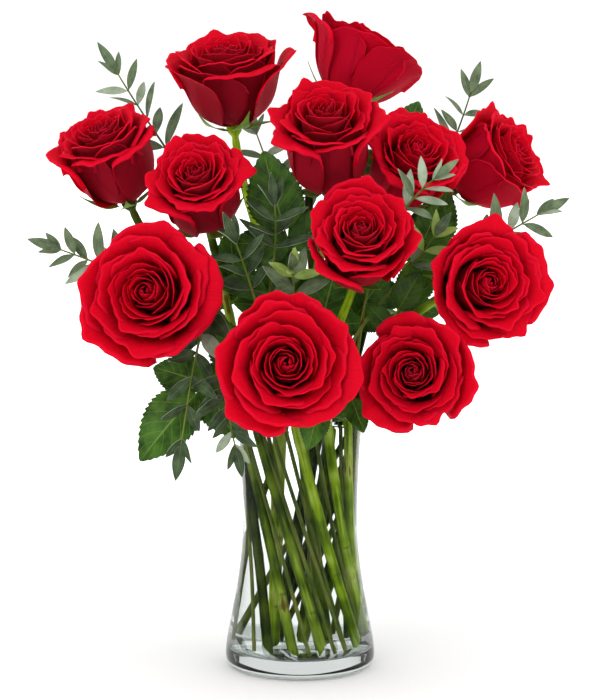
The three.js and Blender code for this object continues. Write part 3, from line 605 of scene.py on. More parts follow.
def petal_points(rose, seed, index, petals, columns, body_rows, edge_rows):
    """A petal's inner side as a grid (across, along), with its map. Its middle line is a cubic curve
    from the base to the lip, and an arc rolls the edge on from there."""
    t = 1 - index / (petals - 1)
    some = [draw(seed, index * 8 + k) for k in range(8)]
    lip = np.array([
        rose.radius * (0.015 + 0.985 * t**1.2) * (1 + 0.1 * (some[1] - 0.5)),
        rose.height * (1 - 0.04 * (1 - t) ** 2 - LIP_DROP * t**2) * (1 + 0.07 * (some[2] - 0.5)),
    ])
    half_width = lerp(9, 42, t**0.8) * rose.radius / WIDTHS_FOR_RADIUS
    spread = min(half_width / max(lip[0], 3), 1.35)  # half the angle that it takes up, in radians
    spiral = lerp(0.22, 0.04, t**0.7)  # one side lies further out than the other
    roll = math.radians(lerp(30, 95, t)) * (0.5 + 0.9 * some[3])  # of its lip
    roll_radius = lerp(0.8, 2.8, t)
    side_roll = lerp(0.3, 3.2, t) * (0.5 + some[4])  # how far its sides are folded back
    wave = lerp(0.2, 2.3, t)  # height of its ruffle
    phase, phase2 = 2 * math.pi * some[4], 2 * math.pi * some[5]
    flare = 70 * (some[7] - 0.35) * t**4  # degrees by which it opens more than its neighbours
    lean = 0.1 * (some[6] - 0.5)

    u = np.linspace(-1, 1, columns + 1)[:, None]
    v = np.concatenate([
        np.linspace(0, EDGE_ROWS, body_rows + 1), np.linspace(EDGE_ROWS, 1, edge_rows + 1)[1:],
    ])[None, :]
    # How far up it reaches at each place across: round, with a point in the middle and small notches
    skew = u + 0.5 * (some[5] - 0.5) * (1 - u**2)
    top = (1 - lerp(0.2, 0.42, t) * (1 - np.sqrt(1 - np.abs(skew) ** 2.4 + 1e-9))
           + 0.06 * some[6] * t * np.exp(-((skew / 0.2) ** 2))
           + 0.012 * np.sin(8 * u + phase) + 0.01 * np.sin(19 * u + phase2))
    s = np.clip(v / EDGE_ROWS, 0, 1) * top
    curl = np.clip((v - EDGE_ROWS) / (1 - EDGE_ROWS), 0, 1) * roll * (0.65 + 0.5 * np.abs(u) ** 1.5)
    line, slope = petal_middle(rose, t, lip, flare, s)
    out, rise = slope[..., 0], slope[..., 1]
    back = side_roll * np.clip((np.abs(u) - 0.55) / 0.45, 0, 1) ** 2 * ramp(s / 0.5)
    r = line[..., 0] + roll_radius * (out * np.sin(curl) + rise * (1 - np.cos(curl))) + back * rise
    z = line[..., 1] + roll_radius * (rise * np.sin(curl) - out * (1 - np.cos(curl))) - back * out
    angle = u * spread * lerp(0.72, 1, ramp(s / 0.5))
    flat = 1 / np.maximum(np.cos(np.clip(angle, -1.1, 1.1) * 0.9), 0.4) - 1
    r = r * (1 + lerp(0, 0.25, t) * flat * ramp((s - 0.2) / 0.8))
    r = r * (1 + spiral * u * ramp(s / 0.4))
    ruffle = wave * s**3 * (0.7 * np.sin(3.1 * u + phase) + 0.4 * np.sin(7.3 * u + phase2))
    crinkle = lerp(0.1, 0.5, t) * s**5 * (np.sin(11 * u + phase2) + np.sin(17 * u + phase))
    dimple = lerp(0.1, 0.5, t) * np.sin(4.3 * u + phase2) * np.sin(6 * s + phase)
    r = r + 0.6 * ruffle + 0.8 * crinkle + dimple * rise
    z = z + 0.8 * ruffle + crinkle - dimple * out
    turn = -index * GOLDEN_ANGLE + 0.12 * (some[0] - 0.5) + angle + lean * s
    points = np.stack([r * np.cos(turn), r * np.sin(turn), z + 0 * turn], -1)
    return points, grid_map(u, v)


FACE, REVERSE = 0, 1
PAINTED_LIT_BLOOMS = (2, 6, 7, 8, 9, 11)  # by number, as in the names of their nodes; their petals' outer side is painted lighter, as painted light, and the others' darker, as painted shade
OUTER_PETALS = 18  # show most, and so are finer
OUTER_DETAIL = (28, 14, 7)  # columns, rows on the body and rows on the rolled edge
INNER_DETAIL = (18, 9, 5)


def bloom_form(rose, number, petals, thickness):
    """All the petals of a bloom, the outermost first; each gets thinner to its edge."""
    form = Form()
    for index in range(petals):
        detail = OUTER_DETAIL if index < OUTER_PETALS else INNER_DETAIL
        points, maps = petal_points(rose, number, index, petals, *detail)
        edge = np.maximum(np.abs(maps[..., 0]) ** 6, np.clip((maps[..., 1] - 0.9) / 0.1, 0, 1))
        add_sheet(form, points, thickness * (1 - 0.6 * edge), (FACE, REVERSE), maps)
    return form


# ---- stems, hips, sepals and leaves

STALK, BLADE, UNDERSIDE, SEPAL, CUT = range(5)
# Radius up the hip, and height from its top
HIP_PROFILE = [(2.6, -12), (2.9, -10), (4.1, -8.4), (5.5, -6.2), (6, -4), (5.8, -2), (4.8, -0.2)]
PAINTED_LIT_STEMS = (1, 9, 10, 12)  # get a rind of painted light, and the ones at the back a nearly black one of painted shade, for the shade the rest cast on them
PAINTED_SHADE_STEMS = (2, 3, 7)
STEM_ROWS = (94, 60)  # in the vase and above it
STEM_SIDES = 16
STEM_TOP = 0.85  # radius under the bloom, as a share of that in the vase
NODE_SPACING = 52  # between the swollen joints where leaves were stripped
NODE_SWELLING, NODE_LENGTH = 0.07, 3
SEPAL_LENGTHS = (28, 40)
SEPAL_THICKNESS = 0.45
LEAF_THICKNESS = 0.4


def stem_curve(rose):
    """The poles of a stem's curve, from the vase's mouth to the foot of its hip."""
    placed = bloom_frame(rose)
    return climb(vase_line(rose.mouth), in_frame(placed, (0, 0, -HIP_LENGTH)), placed[:3, 2])


def add_stem(form, rose, number, radius, slant):
    """A stem from its cut end up through its hip, a little swollen where leaves were stripped."""
    placed = bloom_frame(rose)
    line, poles = vase_line(rose.mouth), stem_curve(rose)
    low = [line(h) for h in np.linspace(LINE_BOTTOM + slant, VASE_HEIGHT, STEM_ROWS[0])[:-1]]
    shares = np.linspace(0, 1, STEM_ROWS[1])[:-1]
    points = [*low, *bezier(poles, shares)]
    radii = lerp(radius, STEM_TOP * radius, np.concatenate([np.zeros(len(low)), shares]))
    from_node = (lengths(points) + NODE_SPACING * draw(number, 400)) % NODE_SPACING - NODE_SPACING / 2
    radii = radii * (1 + NODE_SWELLING * np.exp(-((from_node / NODE_LENGTH) ** 2)))
    for width, z in HIP_PROFILE:
        points.append(in_frame(placed, (0, 0, z)))
        radii = np.append(radii, width)
    cut = (slant, 2 * math.pi * draw(number, 420), CUT)
    shift = NODE_SPACING * (draw(number, 400) - 0.5)
    add_tube(form, points, radii, STEM_SIDES, STALK, cut, NODE_SPACING, shift)


def cup_line(rose, share):
    """Radius and height up the outside of the bloom's cup, at shares of its outermost petals."""
    line, _ = petal_middle(rose, 1, np.array([rose.radius, (1 - LIP_DROP) * rose.height]), 0, share)
    return line


def add_sepals(form, rose, number, widest):
    """Five pointed sepals. Some lie against the cup, and the others spread out below it."""
    placed = bloom_frame(rose)
    s = np.linspace(0, 1, 19)
    u = np.linspace(-1, 1, 9)[:, None]
    for k in range(5):
        turn = 2 * math.pi * (k + 0.3 * draw(number, 300 + k)) / 5
        bend = draw(number, 310 + k)
        length = lerp(*SEPAL_LENGTHS, draw(number, 320 + k))
        cup = cup_line(rose, lerp(0.02, length / (1.35 * rose.height), s))
        held = cup + np.stack([1.3 + 4 * s**3, -2.6 + 1.2 * s], -1)
        free = bezier([(4.6, -2.6), (13, -3), (length, lerp(-9, 3, bend))], s)
        line = lerp(free, held, 1.0 if bend > 0.35 else 0.25)
        shape = 0.5 + 2.4 * s * (1 - s) ** 1.5 + 0.5 * np.exp(-((s - 0.3) / 0.2) ** 2)
        width = widest / 2 * (1 - s) ** 0.8 * shape
        r, z = line[:, 0] + 0 * u, line[:, 1] - 0.12 * width * u**2
        angle = turn + 0.12 * s + u * width / np.maximum(r, 5.2)
        points = in_frame(placed, np.stack([r * np.cos(angle), r * np.sin(angle), z], -1))
        add_sheet(form, points, np.full(r.shape, SEPAL_THICKNESS), (SEPAL, SEPAL), grid_map(u, s[None, :]))


def blade_frame(along, up):
    """The way to a blade's right, and the way that its upper side faces."""
    right = unit(np.cross(along, up))
    return right, unit(np.cross(right, along))


LEAFLET_TEETH = 15
ROWS_PER_TOOTH = 4
LEAFLET_VEINS = 7  # pairs
END_LEAFLET_BREADTH = 0.7  # of the end leaflet's length, as are the next two
SIDE_LEAFLET_LENGTH, SIDE_LEAFLET_BREADTH = 0.74, 0.5
SIDE_LEAFLETS_AT = 0.72  # of the way along the leaf's stalk
SIDE_LEAFLET_LEAN = 0.35  # to the tip, for each unit sideways
LEAF_STALK_RADII = (1.2, 0.7)


def add_leaflet(form, start, along, up, length, width):
    """Ovate and folded up along its rib, quilted between its veins, with forward-pointing teeth."""
    right, top = blade_frame(along, up)
    rows = LEAFLET_TEETH * ROWS_PER_TOOTH
    s = np.linspace(0.004, 1, rows + 1)[None, :]
    u = np.linspace(-1, 1, 15)[:, None]
    half = 0.5 * np.sin(math.pi * s**0.72) ** 0.75
    tooth = (s * LEAFLET_TEETH) % 1.0
    grow = 1 + (0.11 * tooth - 0.03) * np.abs(u) ** 4
    across = u * half * grow * width
    forward = s + 0.012 * tooth * np.abs(u) ** 4
    pillows = np.abs(np.sin(math.pi * LEAFLET_VEINS * (s - VEIN_LEAN * np.abs(u))))
    quilt = 0.35 * pillows * (1 - np.abs(u) ** 2) * np.abs(u) ** 0.5
    fold = 0.22 * np.abs(across) * (1 - 0.25 * np.abs(u))
    lift = fold - 0.12 * s**2 * length + quilt + 0.5 * np.sin(9 * s + 2 * u) * np.abs(u) ** 2
    points = (start + forward[..., None] * length * along + across[..., None] * right
              + lift[..., None] * top)
    add_sheet(form, points, np.full(across.shape, LEAF_THICKNESS), (UNDERSIDE, BLADE), grid_map(u, s))


def add_rose_leaf(form, leaf, rose):
    """A compound leaf: its stalk curves out from the stem to one end leaflet and two side ones."""
    start = bezier(stem_curve(rose), leaf.at)
    base, tip = np.array(leaf.base, float), np.array(leaf.tip, float)
    length = np.linalg.norm(tip - base)
    along, face = unit(tip - base), unit(leaf.face)
    bend = base - along * 0.45 * np.linalg.norm(start - base)
    rachis = [start, bend, base + 0.8 * along]
    add_tube(form, bezier(rachis, np.linspace(0, 1, 14)), np.linspace(*LEAF_STALK_RADII, 14), 8, STALK)
    add_leaflet(form, base, along, face, length, END_LEAFLET_BREADTH * length)
    right = unit(np.cross(along, face))
    for way in (-1, 1):
        aim = unit(SIDE_LEAFLET_LEAN * along + way * right)
        root = bezier(rachis, SIDE_LEAFLETS_AT) + 0.3 * aim
        add_leaflet(form, root, aim, face, SIDE_LEAFLET_LENGTH * length, SIDE_LEAFLET_BREADTH * length)


def stem_form(rose, number, radius, slant, sepal_width):
    """A rose's stem, hip, sepals and leaves, which grow as one piece."""
    form = Form()
    add_stem(form, rose, number, radius, slant)
    add_sepals(form, rose, number, sepal_width)
    for leaf in ROSE_LEAVES:
        if leaf.rose == number:
            add_rose_leaf(form, leaf, rose)
    return form


# ---- eucalyptus


def turned(vector, axis, angle):
    """A vector turned about a unit axis."""
    return (vector * math.cos(angle) + np.cross(axis, vector) * math.sin(angle)
            + axis * axis.dot(vector) * (1 - math.cos(angle)))


# The last finish is a darker green, painted shade for leaves low on the bouquet or deep in it
YOUNG, PAINTED_SHADE_LEAF = 3, 4
YOUNG_SPRAYS = (5, 12)  # end in leaves that are still yellow-green
PAINTED_SHADE_SPRAYS = (3, 4, 10, 11)  # low on the bouquet or deep in it, whose leaves are painted darker for the shade there
PALE_SPRAYS = (7,)  # mostly show the undersides of their leaves
UPPER_SHARE, PALE_UPPER_SHARE = 0.78, 0.25  # of the leaves, with their upper sides to the light
TWIG_BOTTOM = LINE_BOTTOM + 1
TWIG_ROWS = (14, 40)  # in the vase and above it
TWIG_TIP_RADIUS = 0.55
LAST_PAIR_AT = 0.985  # of the curve above the vase
LEAF_ROOT = 0.15  # distance of a leaf's start from its twig's middle, as a share of the twig's radius
TIP_LEAF_ROOT = 1.5  # depth inside a twig's end at which its single leaf starts


def add_lance(form, start, along, up, length, width, finishes):
    """A narrow leaf on a short stalk, a little folded and drooping."""
    right, top = blade_frame(along, up)
    s = np.linspace(0, 1, 19)[None, :]
    u = np.linspace(-1, 1, 9)[:, None]
    body = np.clip((s - 0.05) / 0.95, 0, 1)
    half = np.maximum(0.46 * np.sin(math.pi * body**0.86) ** 0.8, 0.05 * (1 - s) ** 2 + 0.012)
    across = u * half * width
    lift = 0.14 * np.abs(across) - 0.14 * s**2 * length + 0.3 * np.sin(6 * s) * u
    points = start + s[..., None] * length * along + across[..., None] * right + lift[..., None] * top
    add_sheet(form, points, np.full(across.shape, LEAF_THICKNESS), finishes, grid_map(u, s))


def spray_form(plan, number, radius):
    """A twig with pairs of leaves, each pair turned on from the one before, and one leaf at its end."""
    form = Form()
    aim = unit(plan.aim)
    line = vase_line(plan.mouth)
    poles = climb(line, np.array(plan.tip, float), aim, plan.stiffness)
    low = [line(h) for h in np.linspace(TWIG_BOTTOM, VASE_HEIGHT, TWIG_ROWS[0])[:-1]]
    shares = np.linspace(0, 1, TWIG_ROWS[1])
    taper = np.concatenate([np.zeros(len(low)), shares]) ** 1.5
    add_tube(form, [*low, *bezier(poles, shares)], lerp(radius, TWIG_TIP_RADIUS, taper), 10, STALK)
    upright = (UNDERSIDE, PAINTED_SHADE_LEAF if number in PAINTED_SHADE_SPRAYS else BLADE)
    kept = PALE_UPPER_SHARE if number in PALE_SPRAYS else UPPER_SHARE
    for k in range(plan.pairs):
        s = lerp(plan.start, LAST_PAIR_AT, k / (plan.pairs - 1))
        point = bezier(poles, s)
        along = unit(bezier(poles, s + 0.001) - point)
        turn = PAIR_TURN * (k % 2 - 0.5) + 0.6 * (draw(number, k) - 0.5)
        side = turned(unit(np.cross(along, LIGHT)), along, turn)
        size = plan.leaf * lerp(1, 0.5, (k / plan.pairs) ** 1.5) * (0.85 + 0.3 * draw(number, k + 40))
        spread = PAIR_SPREAD / 2 if k == plan.pairs - 1 else PAIR_SPREAD
        for way in (-1, 1):
            opened = spread * (0.75 + 0.5 * draw(number, 2 * k + way + 60))
            out = along * math.cos(opened) + way * side * math.sin(opened)
            face = along * math.sin(opened) - way * side * math.cos(opened)
            face = unit(lerp(0.2, 0.9, draw(number, 2 * k + way + 90)) * face + LIGHT - out * out.dot(LIGHT))
            finishes = upright if draw(number, 2 * k + way + 120) < kept else upright[::-1]
            if number in YOUNG_SPRAYS and k >= plan.pairs - 2:
                finishes = (YOUNG, YOUNG)
            add_lance(form, point + LEAF_ROOT * radius * out, out, face, size, plan.broad * size, finishes)
    face = unit(LIGHT - along * along.dot(LIGHT))
    size = TIP_LEAF * plan.leaf
    add_lance(form, poles[-1] - TIP_LEAF_ROOT * along, along, face, size, plan.broad * size, upright)
    return form


# ---- vase and water


def outside_radius(height):
    """The radius of the smooth outside at a height."""
    rows = np.array(VASE_OUTSIDE, float)
    places = np.linspace(0, len(rows) - 1, 400)
    at = np.minimum(places.astype(int), len(rows) - 2)
    w = (places - at)[:, None]
    p0, p1 = rows[np.maximum(at - 1, 0)], rows[at]
    p2, p3 = rows[at + 1], rows[np.minimum(at + 2, len(rows) - 1)]
    m0, m1 = (p2 - p0) / 2, (p3 - p1) / 2
    curve = ((2 * p1 - 2 * p2 + m0 + m1) * w**3 + (-3 * p1 + 3 * p2 - 2 * m0 - m1) * w**2 + m0 * w + p1)
    return np.interp(height, curve[:, 1], curve[:, 0])


def corner(points, steps):
    """A smooth run through three points, as a quadratic curve that meets the outer two."""
    first, middle, last = [np.array(p, float) for p in points]
    pole = 2 * middle - (first + last) / 2
    return bezier([first, pole, last], np.linspace(0, 1, steps))


def inner_wall(glass, top, rows, past=0):
    """Radius and height from the edge of the floor up the inside, or up a surface so far past it into
    the glass."""
    floor = corner([(r + past, FLOOR_TOP - past + z) for r, z in FLOOR_CORNER], 8)
    return [*floor, *((outside_radius(h) - glass + past, h) for h in np.linspace(WALL_START, top, rows))]


VASE_SIDES = 96
UNDERSIDE_HOLLOW = [(0, 1.5), (12, 1.4), (24, 1.15), (33, 0.8), (40, 0.4), (44, 0.1)]  # inside its foot ring
WALL, FOOT = 0, 1
FOOT_HEIGHT = 18  # of the part that is thick enough to pipe light


def vase_form(glass):
    """The vase, with a wall of that thickness. Only its foot ring meets the table."""
    outside = [(outside_radius(h), h) for h in np.linspace(VASE_OUTSIDE[0][1], RIM_START, 44)]
    rim = outside_radius(RIM_START)
    arc = [
        (rim - glass / 2 + glass / 2 * math.cos(a), RIM_START + RIM_DEPTH * math.sin(a))
        for a in np.linspace(0, math.pi, 9)[1:-1]
    ]
    inside = inner_wall(glass, RIM_START, 40)
    profile = [*UNDERSIDE_HOLLOW, *corner(VASE_FOOT, 7), *outside, *arc, *inside[::-1], (0, FLOOR_TOP)]
    form = Form()
    add_lathe(form, profile, VASE_SIDES, lambda height: WALL if height > FOOT_HEIGHT else FOOT)
    return form


WET = 0.06  # the water reaches this far into the glass, so that no film of air shows between them
MENISCUS = 1.4  # height to which the water climbs up the glass
MENISCUS_FALL = 1.2  # distance from the glass over which most of that is gone
SURFACE_RINGS = (0.3, 0.8, 1.5, 2.6, 4.5, 8)  # distances from the glass


def water_form(glass, level):
    """The water inside a wall of that thickness, up to a level; it climbs the glass a little."""
    inside = inner_wall(glass, level, 26, WET)
    wall = inside[-1][0]
    surface = [(wall - d, level - MENISCUS * (1 - math.exp(-d / MENISCUS_FALL))) for d in SURFACE_RINGS]
    profile = [(0, FLOOR_TOP - WET), *inside, *surface, (0, level - MENISCUS)]
    form = Form()
    add_lathe(form, profile, VASE_SIDES)
    return form


# ---- what a user would change


def colour_property(name, description, colour):
    """A colour to choose, from an sRGB hex colour."""
    return bpy.props.FloatVectorProperty(
        name=name, description=description, default=linear(colour), size=4, min=0, max=1, subtype="COLOR")


def length_property(name, description, millimetres):
    """A length to choose, which Blender keeps in metres."""
    return bpy.props.FloatProperty(
        name=name, description=description, default=millimetres * MM, min=0, precision=5, unit="LENGTH")


class BloomSettings(bpy.types.PropertyGroup):
    """How full the blooms are, and the colours of their petals."""

    petals: bpy.props.IntProperty(
        name="Petals", description="Number of petals in each bloom", default=36, min=OUTER_PETALS, max=60)
    thickness: length_property("Petal Thickness", "At the middle of a petal; its edge is thinner", 0.5)
    face: colour_property("Face", "Velvety inner side of the petals", "#C8021E")
    # Darker than the face: partly the petals' own colour and partly painted shade deep in the bloom
    root: colour_property("Root", "Where the petals meet, deep in the bloom", "#BA0420")
    reverse: colour_property("Reverse", "Duller outer side of the petals", "#8C0A1E")
    # A lighter copy of the outer side: painted light on some blooms
    painted_lit_reverse: colour_property("Reverse, Painted Lit", "Outer side of the petals on the best-lit blooms", "#B40424")


class StemSettings(bpy.types.PropertyGroup):
    """The roses' stems and leaves."""

    radius: length_property("Stem Radius", "In the vase; a stem is a little thinner under its bloom", 3.5)
    slant: length_property("Cut Slant", "Height of the cut's middle over its lowest point", 4.5)
    sepal_width: length_property("Sepal Width", "At its widest", 12)
    leaf_dark: colour_property("Leaf, Dark", "Darker green of the leaves' upper sides", "#1C3A0C")
    leaf_light: colour_property("Leaf, Light", "Lighter green of the leaves' upper sides", "#46701E")
    sepal: colour_property("Sepal", "Light green of the sepals", "#8CB03C")


class SpraySettings(bpy.types.PropertyGroup):
    """The eucalyptus."""

    radius: length_property("Twig Radius", "In the vase; a twig tapers to its tip", 1.4)
    waxy: colour_property("Waxy Leaf", "Grey-green bloom on the leaves' upper sides", "#748664")
    # A darker green that paints the shade low on the bouquet and deep in it
    painted_shade_leaf: colour_property("Leaf in Painted Shade", "Dark leaves, low on the bouquet or deep in it", "#4A5E3C")
    young: colour_property("Young Leaf", "Yellow-green leaves at some tips", "#9EB25A")


class VaseSettings(bpy.types.PropertyGroup):
    """The glass and what it holds."""

    wall: length_property("Wall", "Thickness of the glass above the foot", 3)
    water_level: length_property("Water Level", "Height of the water over the table", 186)
    glass: colour_property("Glass", "Cast of the glass where it is thin", "#FCFEFD")
    foot: colour_property("Foot", "Cast of the glass where it is thick", "#C8CDCB")
    water: colour_property("Water", "Cast of the water", "#FDFFFE")


class StudioSettings(bpy.types.PropertyGroup):
    """The plain studio that the vase stands in."""

    paper: colour_property("Paper", "Floor", "#FBFBFB")
    daylight: bpy.props.FloatProperty(
        name="Daylight", description="Strength of the white light from all round", default=1.15, min=0)
    key: bpy.props.FloatProperty(
        name="Key", description="Power of the large soft lamp at the left", default=6, min=0, unit="POWER")
    fill: bpy.props.FloatProperty(
        name="Fill", description="Power of the soft lamp at the right", default=3, min=0, unit="POWER")


# ---- operators


def stand_in(piece, node):
    """The piece moves with the part and replaces a node's solid."""
    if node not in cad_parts:
        raise RuntimeError(f"the packed model has no node {node} for {piece.name} to replace")
    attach(piece, "root")
    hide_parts(node)


class BOUQUET_OT_blooms(bpy.types.Operator):
    """Add the twelve open blooms"""

    bl_idname = "bouquet.blooms"
    bl_label = "Rose Blooms"

    def execute(self, context):
        chosen = context.scene.bouquet_blooms
        materials = [
            # The lighter lip colours are painted highlights on the petals' rolled edges
            petal_material("rose_petal_face", chosen.root, chosen.face, "#CE0626", 0.0),
            # The outer side comes in two copies: a duller one, partly its own colour and partly painted
            # shade, and a lighter one of painted light for some blooms
            petal_material("rose_petal_reverse_dusky", chosen.reverse, chosen.reverse, "#B41432", 0.25),
            petal_material("rose_petal_reverse_fresh", chosen.root, chosen.painted_lit_reverse, "#CC1430", 0.08),
        ]
        for number, rose in enumerate(ROSES, 1):
            reverse = materials[2 if number in PAINTED_LIT_BLOOMS else 1]
            piece = bloom_form(rose, number, chosen.petals, chosen.thickness / MM).make(
                f"petals_{number:02}", [materials[0], reverse], bloom_frame(rose))
            stand_in(piece, f"rose_{number:02}_bloom")
        return {"FINISHED"}


# Rose rind from its darkest streaks to its lightest ones, which are painted shade and painted light round the
# stem, and, last, its browned patches. The stems at the front get painted light, yellow-green, and those
# behind the others painted shade, nearly black
PAINTED_LIGHT_RINDS = {
    "bright": [(0.0, "#263A08"), (0.35, "#6A8A10"), (0.6, "#9CBC22"), (0.85, "#CADC66"), (1.0, "#8A7434")],
    "green": [(0.0, "#141E06"), (0.35, "#445A0E"), (0.6, "#6C861C"), (0.85, "#94AC3C"), (1.0, "#664E22")],
    "dark": [(0.0, "#0A1003"), (0.4, "#24320A"), (0.7, "#465616"), (1.0, "#4A3A1E")],
}


class BOUQUET_OT_stems(bpy.types.Operator):
    """Add the rose stems with their hips, sepals and leaves"""

    bl_idname = "bouquet.stems"
    bl_label = "Rose Stems and Leaves"

    def execute(self, context):
        chosen = context.scene.bouquet_stems
        painted_light_rinds = {
            shade: stalk_material(f"rose_stem_rind_{shade}", stops, 5, 0.38) for shade, stops in PAINTED_LIGHT_RINDS.items()
        }
        materials = [
            leaf_material(
                "rose_leaf_upper", chosen.leaf_dark, chosen.leaf_light, "#84A04C", 0.42, LEAFLET_VEINS),
            leaf_material("rose_leaf_under", "#3C5A24", "#5E8238", "#8CA85C", 0.65, LEAFLET_VEINS),
            leaf_material("rose_sepal_downy", "#547E1E", chosen.sepal, "#B4C870", 0.6, 5, 0.3),
            stalk_material("rose_stem_cut", [(0.3, "#A8B56A"), (1.0, "#D6D9A6")], 2, 0.7),
        ]
        for number, rose in enumerate(ROSES, 1):
            # The rind goes by the stem's place: painted light at the front, painted shade at the back
            rind = painted_light_rinds["bright" if number in PAINTED_LIT_STEMS else "dark" if number in PAINTED_SHADE_STEMS else "green"]
            form = stem_form(rose, number, chosen.radius / MM, chosen.slant / MM, chosen.sepal_width / MM)
            piece = form.make(f"stem_{number:02}", [rind, *materials])
            stand_in(piece, f"rose_{number:02}_stem")
        return {"FINISHED"}


class BOUQUET_OT_sprays(bpy.types.Operator):
    """Add the twelve eucalyptus sprays"""

    bl_idname = "bouquet.sprays"
    bl_label = "Eucalyptus Sprays"

    def execute(self, context):
        chosen = context.scene.bouquet_sprays
        materials = [
            stalk_material("eucalyptus_twig_rind", [
                (0.0, "#2A3A12"), (0.4, "#56682A"), (0.8, "#7A8238"), (1.0, "#5A4630")], 3, 0.6),
            leaf_material("eucalyptus_leaf_waxy", "#3E5034", chosen.waxy, "#9CAA88", 0.5, 9, 0.4),
            leaf_material("eucalyptus_leaf_under", "#76866C", "#A6B29A", "#BCC6AE", 0.65, 9, 0.4),
            leaf_material("eucalyptus_leaf_young", "#6A843A", chosen.young, "#BECC80", 0.5, 9, 0.3),
            # Darker leaves: painted shade low on the bouquet and deep in it
            leaf_material("eucalyptus_leaf_old", "#1E2E1A", chosen.painted_shade_leaf, "#7C8E68", 0.45, 9, 0.4),
        ]
        for number, plan in enumerate(SPRAYS, 1):
            piece = spray_form(plan, number, chosen.radius / MM).make(f"spray_{number:02}", materials)
            stand_in(piece, f"eucalyptus_{number:02}")
        return {"FINISHED"}


class BOUQUET_OT_vase(bpy.types.Operator):
    """Add the glass vase"""

    bl_idname = "bouquet.vase"
    bl_label = "Glass Vase"

    def execute(self, context):
        # Soda-lime glass, blown and fire-polished: its thin wall hardly shines, while its thick foot
        # gathers the white room, so it reads pale grey with thin dark lines
        chosen = context.scene.bouquet_vase
        wall = clear_material("soda_lime_glass_polished", chosen.glass, 1.52, "#F8FAF9", "#484848")
        foot = clear_material("soda_lime_glass_thick", chosen.foot, 1.52, "#F8FAF9", "#BCC0BE")
        stand_in(vase_form(chosen.wall / MM).make("glass_vase", [wall, foot]), "vase")
        return {"FINISHED"}


class BOUQUET_OT_water(bpy.types.Operator):
    """Add the water in the vase"""

    bl_idname = "bouquet.water"
    bl_label = "Water"

    def execute(self, context):
        # Fresh water: it magnifies the stems sideways and shows a bright line where it ends
        chosen = context.scene.bouquet_vase
        material = clear_material("water_fresh", chosen.water, 1.333, "#FAFCFB", "#202020")
        form = water_form(chosen.wall / MM, chosen.water_level / MM)
        stand_in(form.make("vase_water", [material]), "water")
        return {"FINISHED"}


CAMERA_PLACE = (0, -1.7, 0.423)
CAMERA_PITCH = 6.36  # degrees below the horizon
FOCAL_PIXELS = 2346  # focal length in the photograph's pixels
FRAME_PIXELS = 700  # its longer side
SENSOR = 36  # millimetres of the camera's sensor that the longer side fills

LAMPS = {"key": ((-0.9, -1.3, 1.3), 0.9), "fill": ((1.3, -0.7, 0.8), 1.0)}  # place and width, in metres
LAMP_AIM = Vector((0, 0, 0.28))

FLOOR_REACH = 12000  # of the floor's sides from the vase's axis
UNDER_FOOT = 0.3  # of air between foot and floor, without which the foot would turn dark
FLAG_AWAY = 220  # of each flag from the vase's axis, to the side
FLAG_RUN = (-200, 180)  # from before the vase to behind it
FLAG_HEIGHTS = (35, 400)


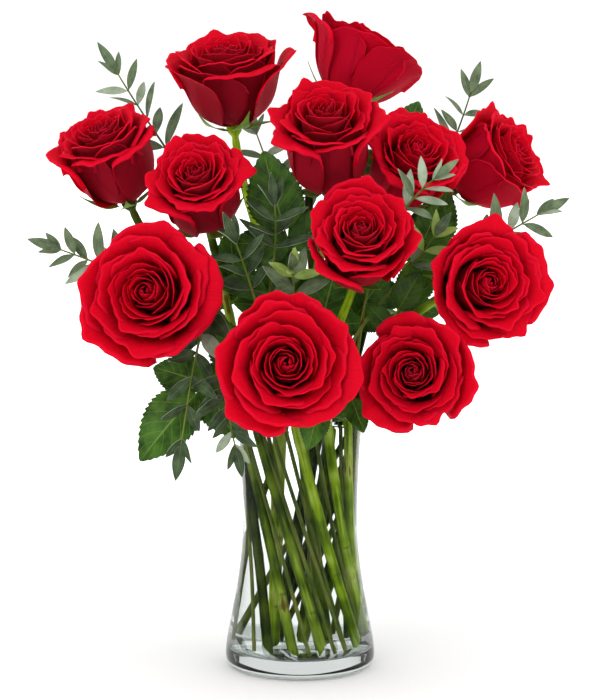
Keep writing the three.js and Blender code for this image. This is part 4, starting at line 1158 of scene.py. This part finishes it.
class BOUQUET_OT_studio(bpy.types.Operator):
    """Add the floor, the soft lights and the camera"""

    bl_idname = "bouquet.studio"
    bl_label = "Studio"

    def execute(self, context):
        chosen = context.scene.bouquet_studio
        scene = context.scene
        floor = flat_form([
            (x * FLOOR_REACH, y * FLOOR_REACH, -UNDER_FOOT) for x, y in ((-1, -1), (1, -1), (1, 1), (-1, 1))
        ]).make("studio_floor", [paper_material("studio_paper_matt", chosen.paper)])

        velvet = flag_material("studio_flag_black_velvet")
        (near, far), (low, high) = FLAG_RUN, FLAG_HEIGHTS
        for name, x in (("left", -FLAG_AWAY), ("right", FLAG_AWAY)):
            flag = flat_form([(x, near, low), (x, far, low), (x, far, high), (x, near, high)]).make(
                f"studio_flag_{name}", [velvet])
            # Only what shines in the glass meets the flags; they draw its edges
            for rays in ("camera", "diffuse", "shadow", "transmission"):
                setattr(flag, f"visible_{rays}", False)

        scene.world = studio_world(chosen.daylight)
        for name, (place, width) in LAMPS.items():
            light = bpy.data.lights.new(f"studio_{name}", "AREA")
            light.energy, light.size = getattr(chosen, name), width
            lamp = bpy.data.objects.new(f"studio_{name}", light)
            lamp.location = place
            lamp.rotation_euler = (LAMP_AIM - Vector(place)).to_track_quat("-Z", "Y").to_euler()
            scene.collection.objects.link(lamp)

        lens = bpy.data.cameras.new("photograph_camera")
        lens.sensor_width = SENSOR
        lens.lens = FOCAL_PIXELS / FRAME_PIXELS * SENSOR
        camera = bpy.data.objects.new("photograph_camera", lens)
        camera.location = CAMERA_PLACE
        camera.rotation_euler = (math.radians(90 - CAMERA_PITCH), 0, 0)
        scene.collection.objects.link(camera)
        scene.camera = camera
        scene.view_settings.view_transform = "Standard"
        return {"FINISHED"}


class BOUQUET_PT_panel(bpy.types.Panel):
    """The bouquet's tools and settings."""

    bl_label = "Roses in a Vase"
    bl_idname = "BOUQUET_PT_panel"
    bl_space_type = "VIEW_3D"
    bl_region_type = "UI"
    bl_category = "Bouquet"

    def draw(self, context):
        for operator in OPERATORS:
            self.layout.operator(operator.bl_idname)
        for group in SETTINGS:
            settings = getattr(context.scene, group)
            for name in settings.__annotations__:
                self.layout.prop(settings, name)


SETTINGS = {
    "bouquet_blooms": BloomSettings, "bouquet_stems": StemSettings, "bouquet_sprays": SpraySettings,
    "bouquet_vase": VaseSettings, "bouquet_studio": StudioSettings,
}
OPERATORS = [
    BOUQUET_OT_studio, BOUQUET_OT_vase, BOUQUET_OT_water,
    BOUQUET_OT_stems, BOUQUET_OT_sprays, BOUQUET_OT_blooms,
]
CLASSES = [*SETTINGS.values(), *OPERATORS, BOUQUET_PT_panel]


def register():
    for cls in CLASSES:
        bpy.utils.register_class(cls)
    for name, group in SETTINGS.items():
        setattr(bpy.types.Scene, name, bpy.props.PointerProperty(type=group))


def unregister():
    for name in SETTINGS:
        delattr(bpy.types.Scene, name)
    for cls in reversed(CLASSES):
        bpy.utils.unregister_class(cls)


def main():
    register()
    bpy.ops.bouquet.studio()
    bpy.ops.bouquet.vase()
    bpy.ops.bouquet.water()
    bpy.ops.bouquet.stems()
    bpy.ops.bouquet.sprays()
    bpy.ops.bouquet.blooms()


if __name__ == "__main__":
    main()
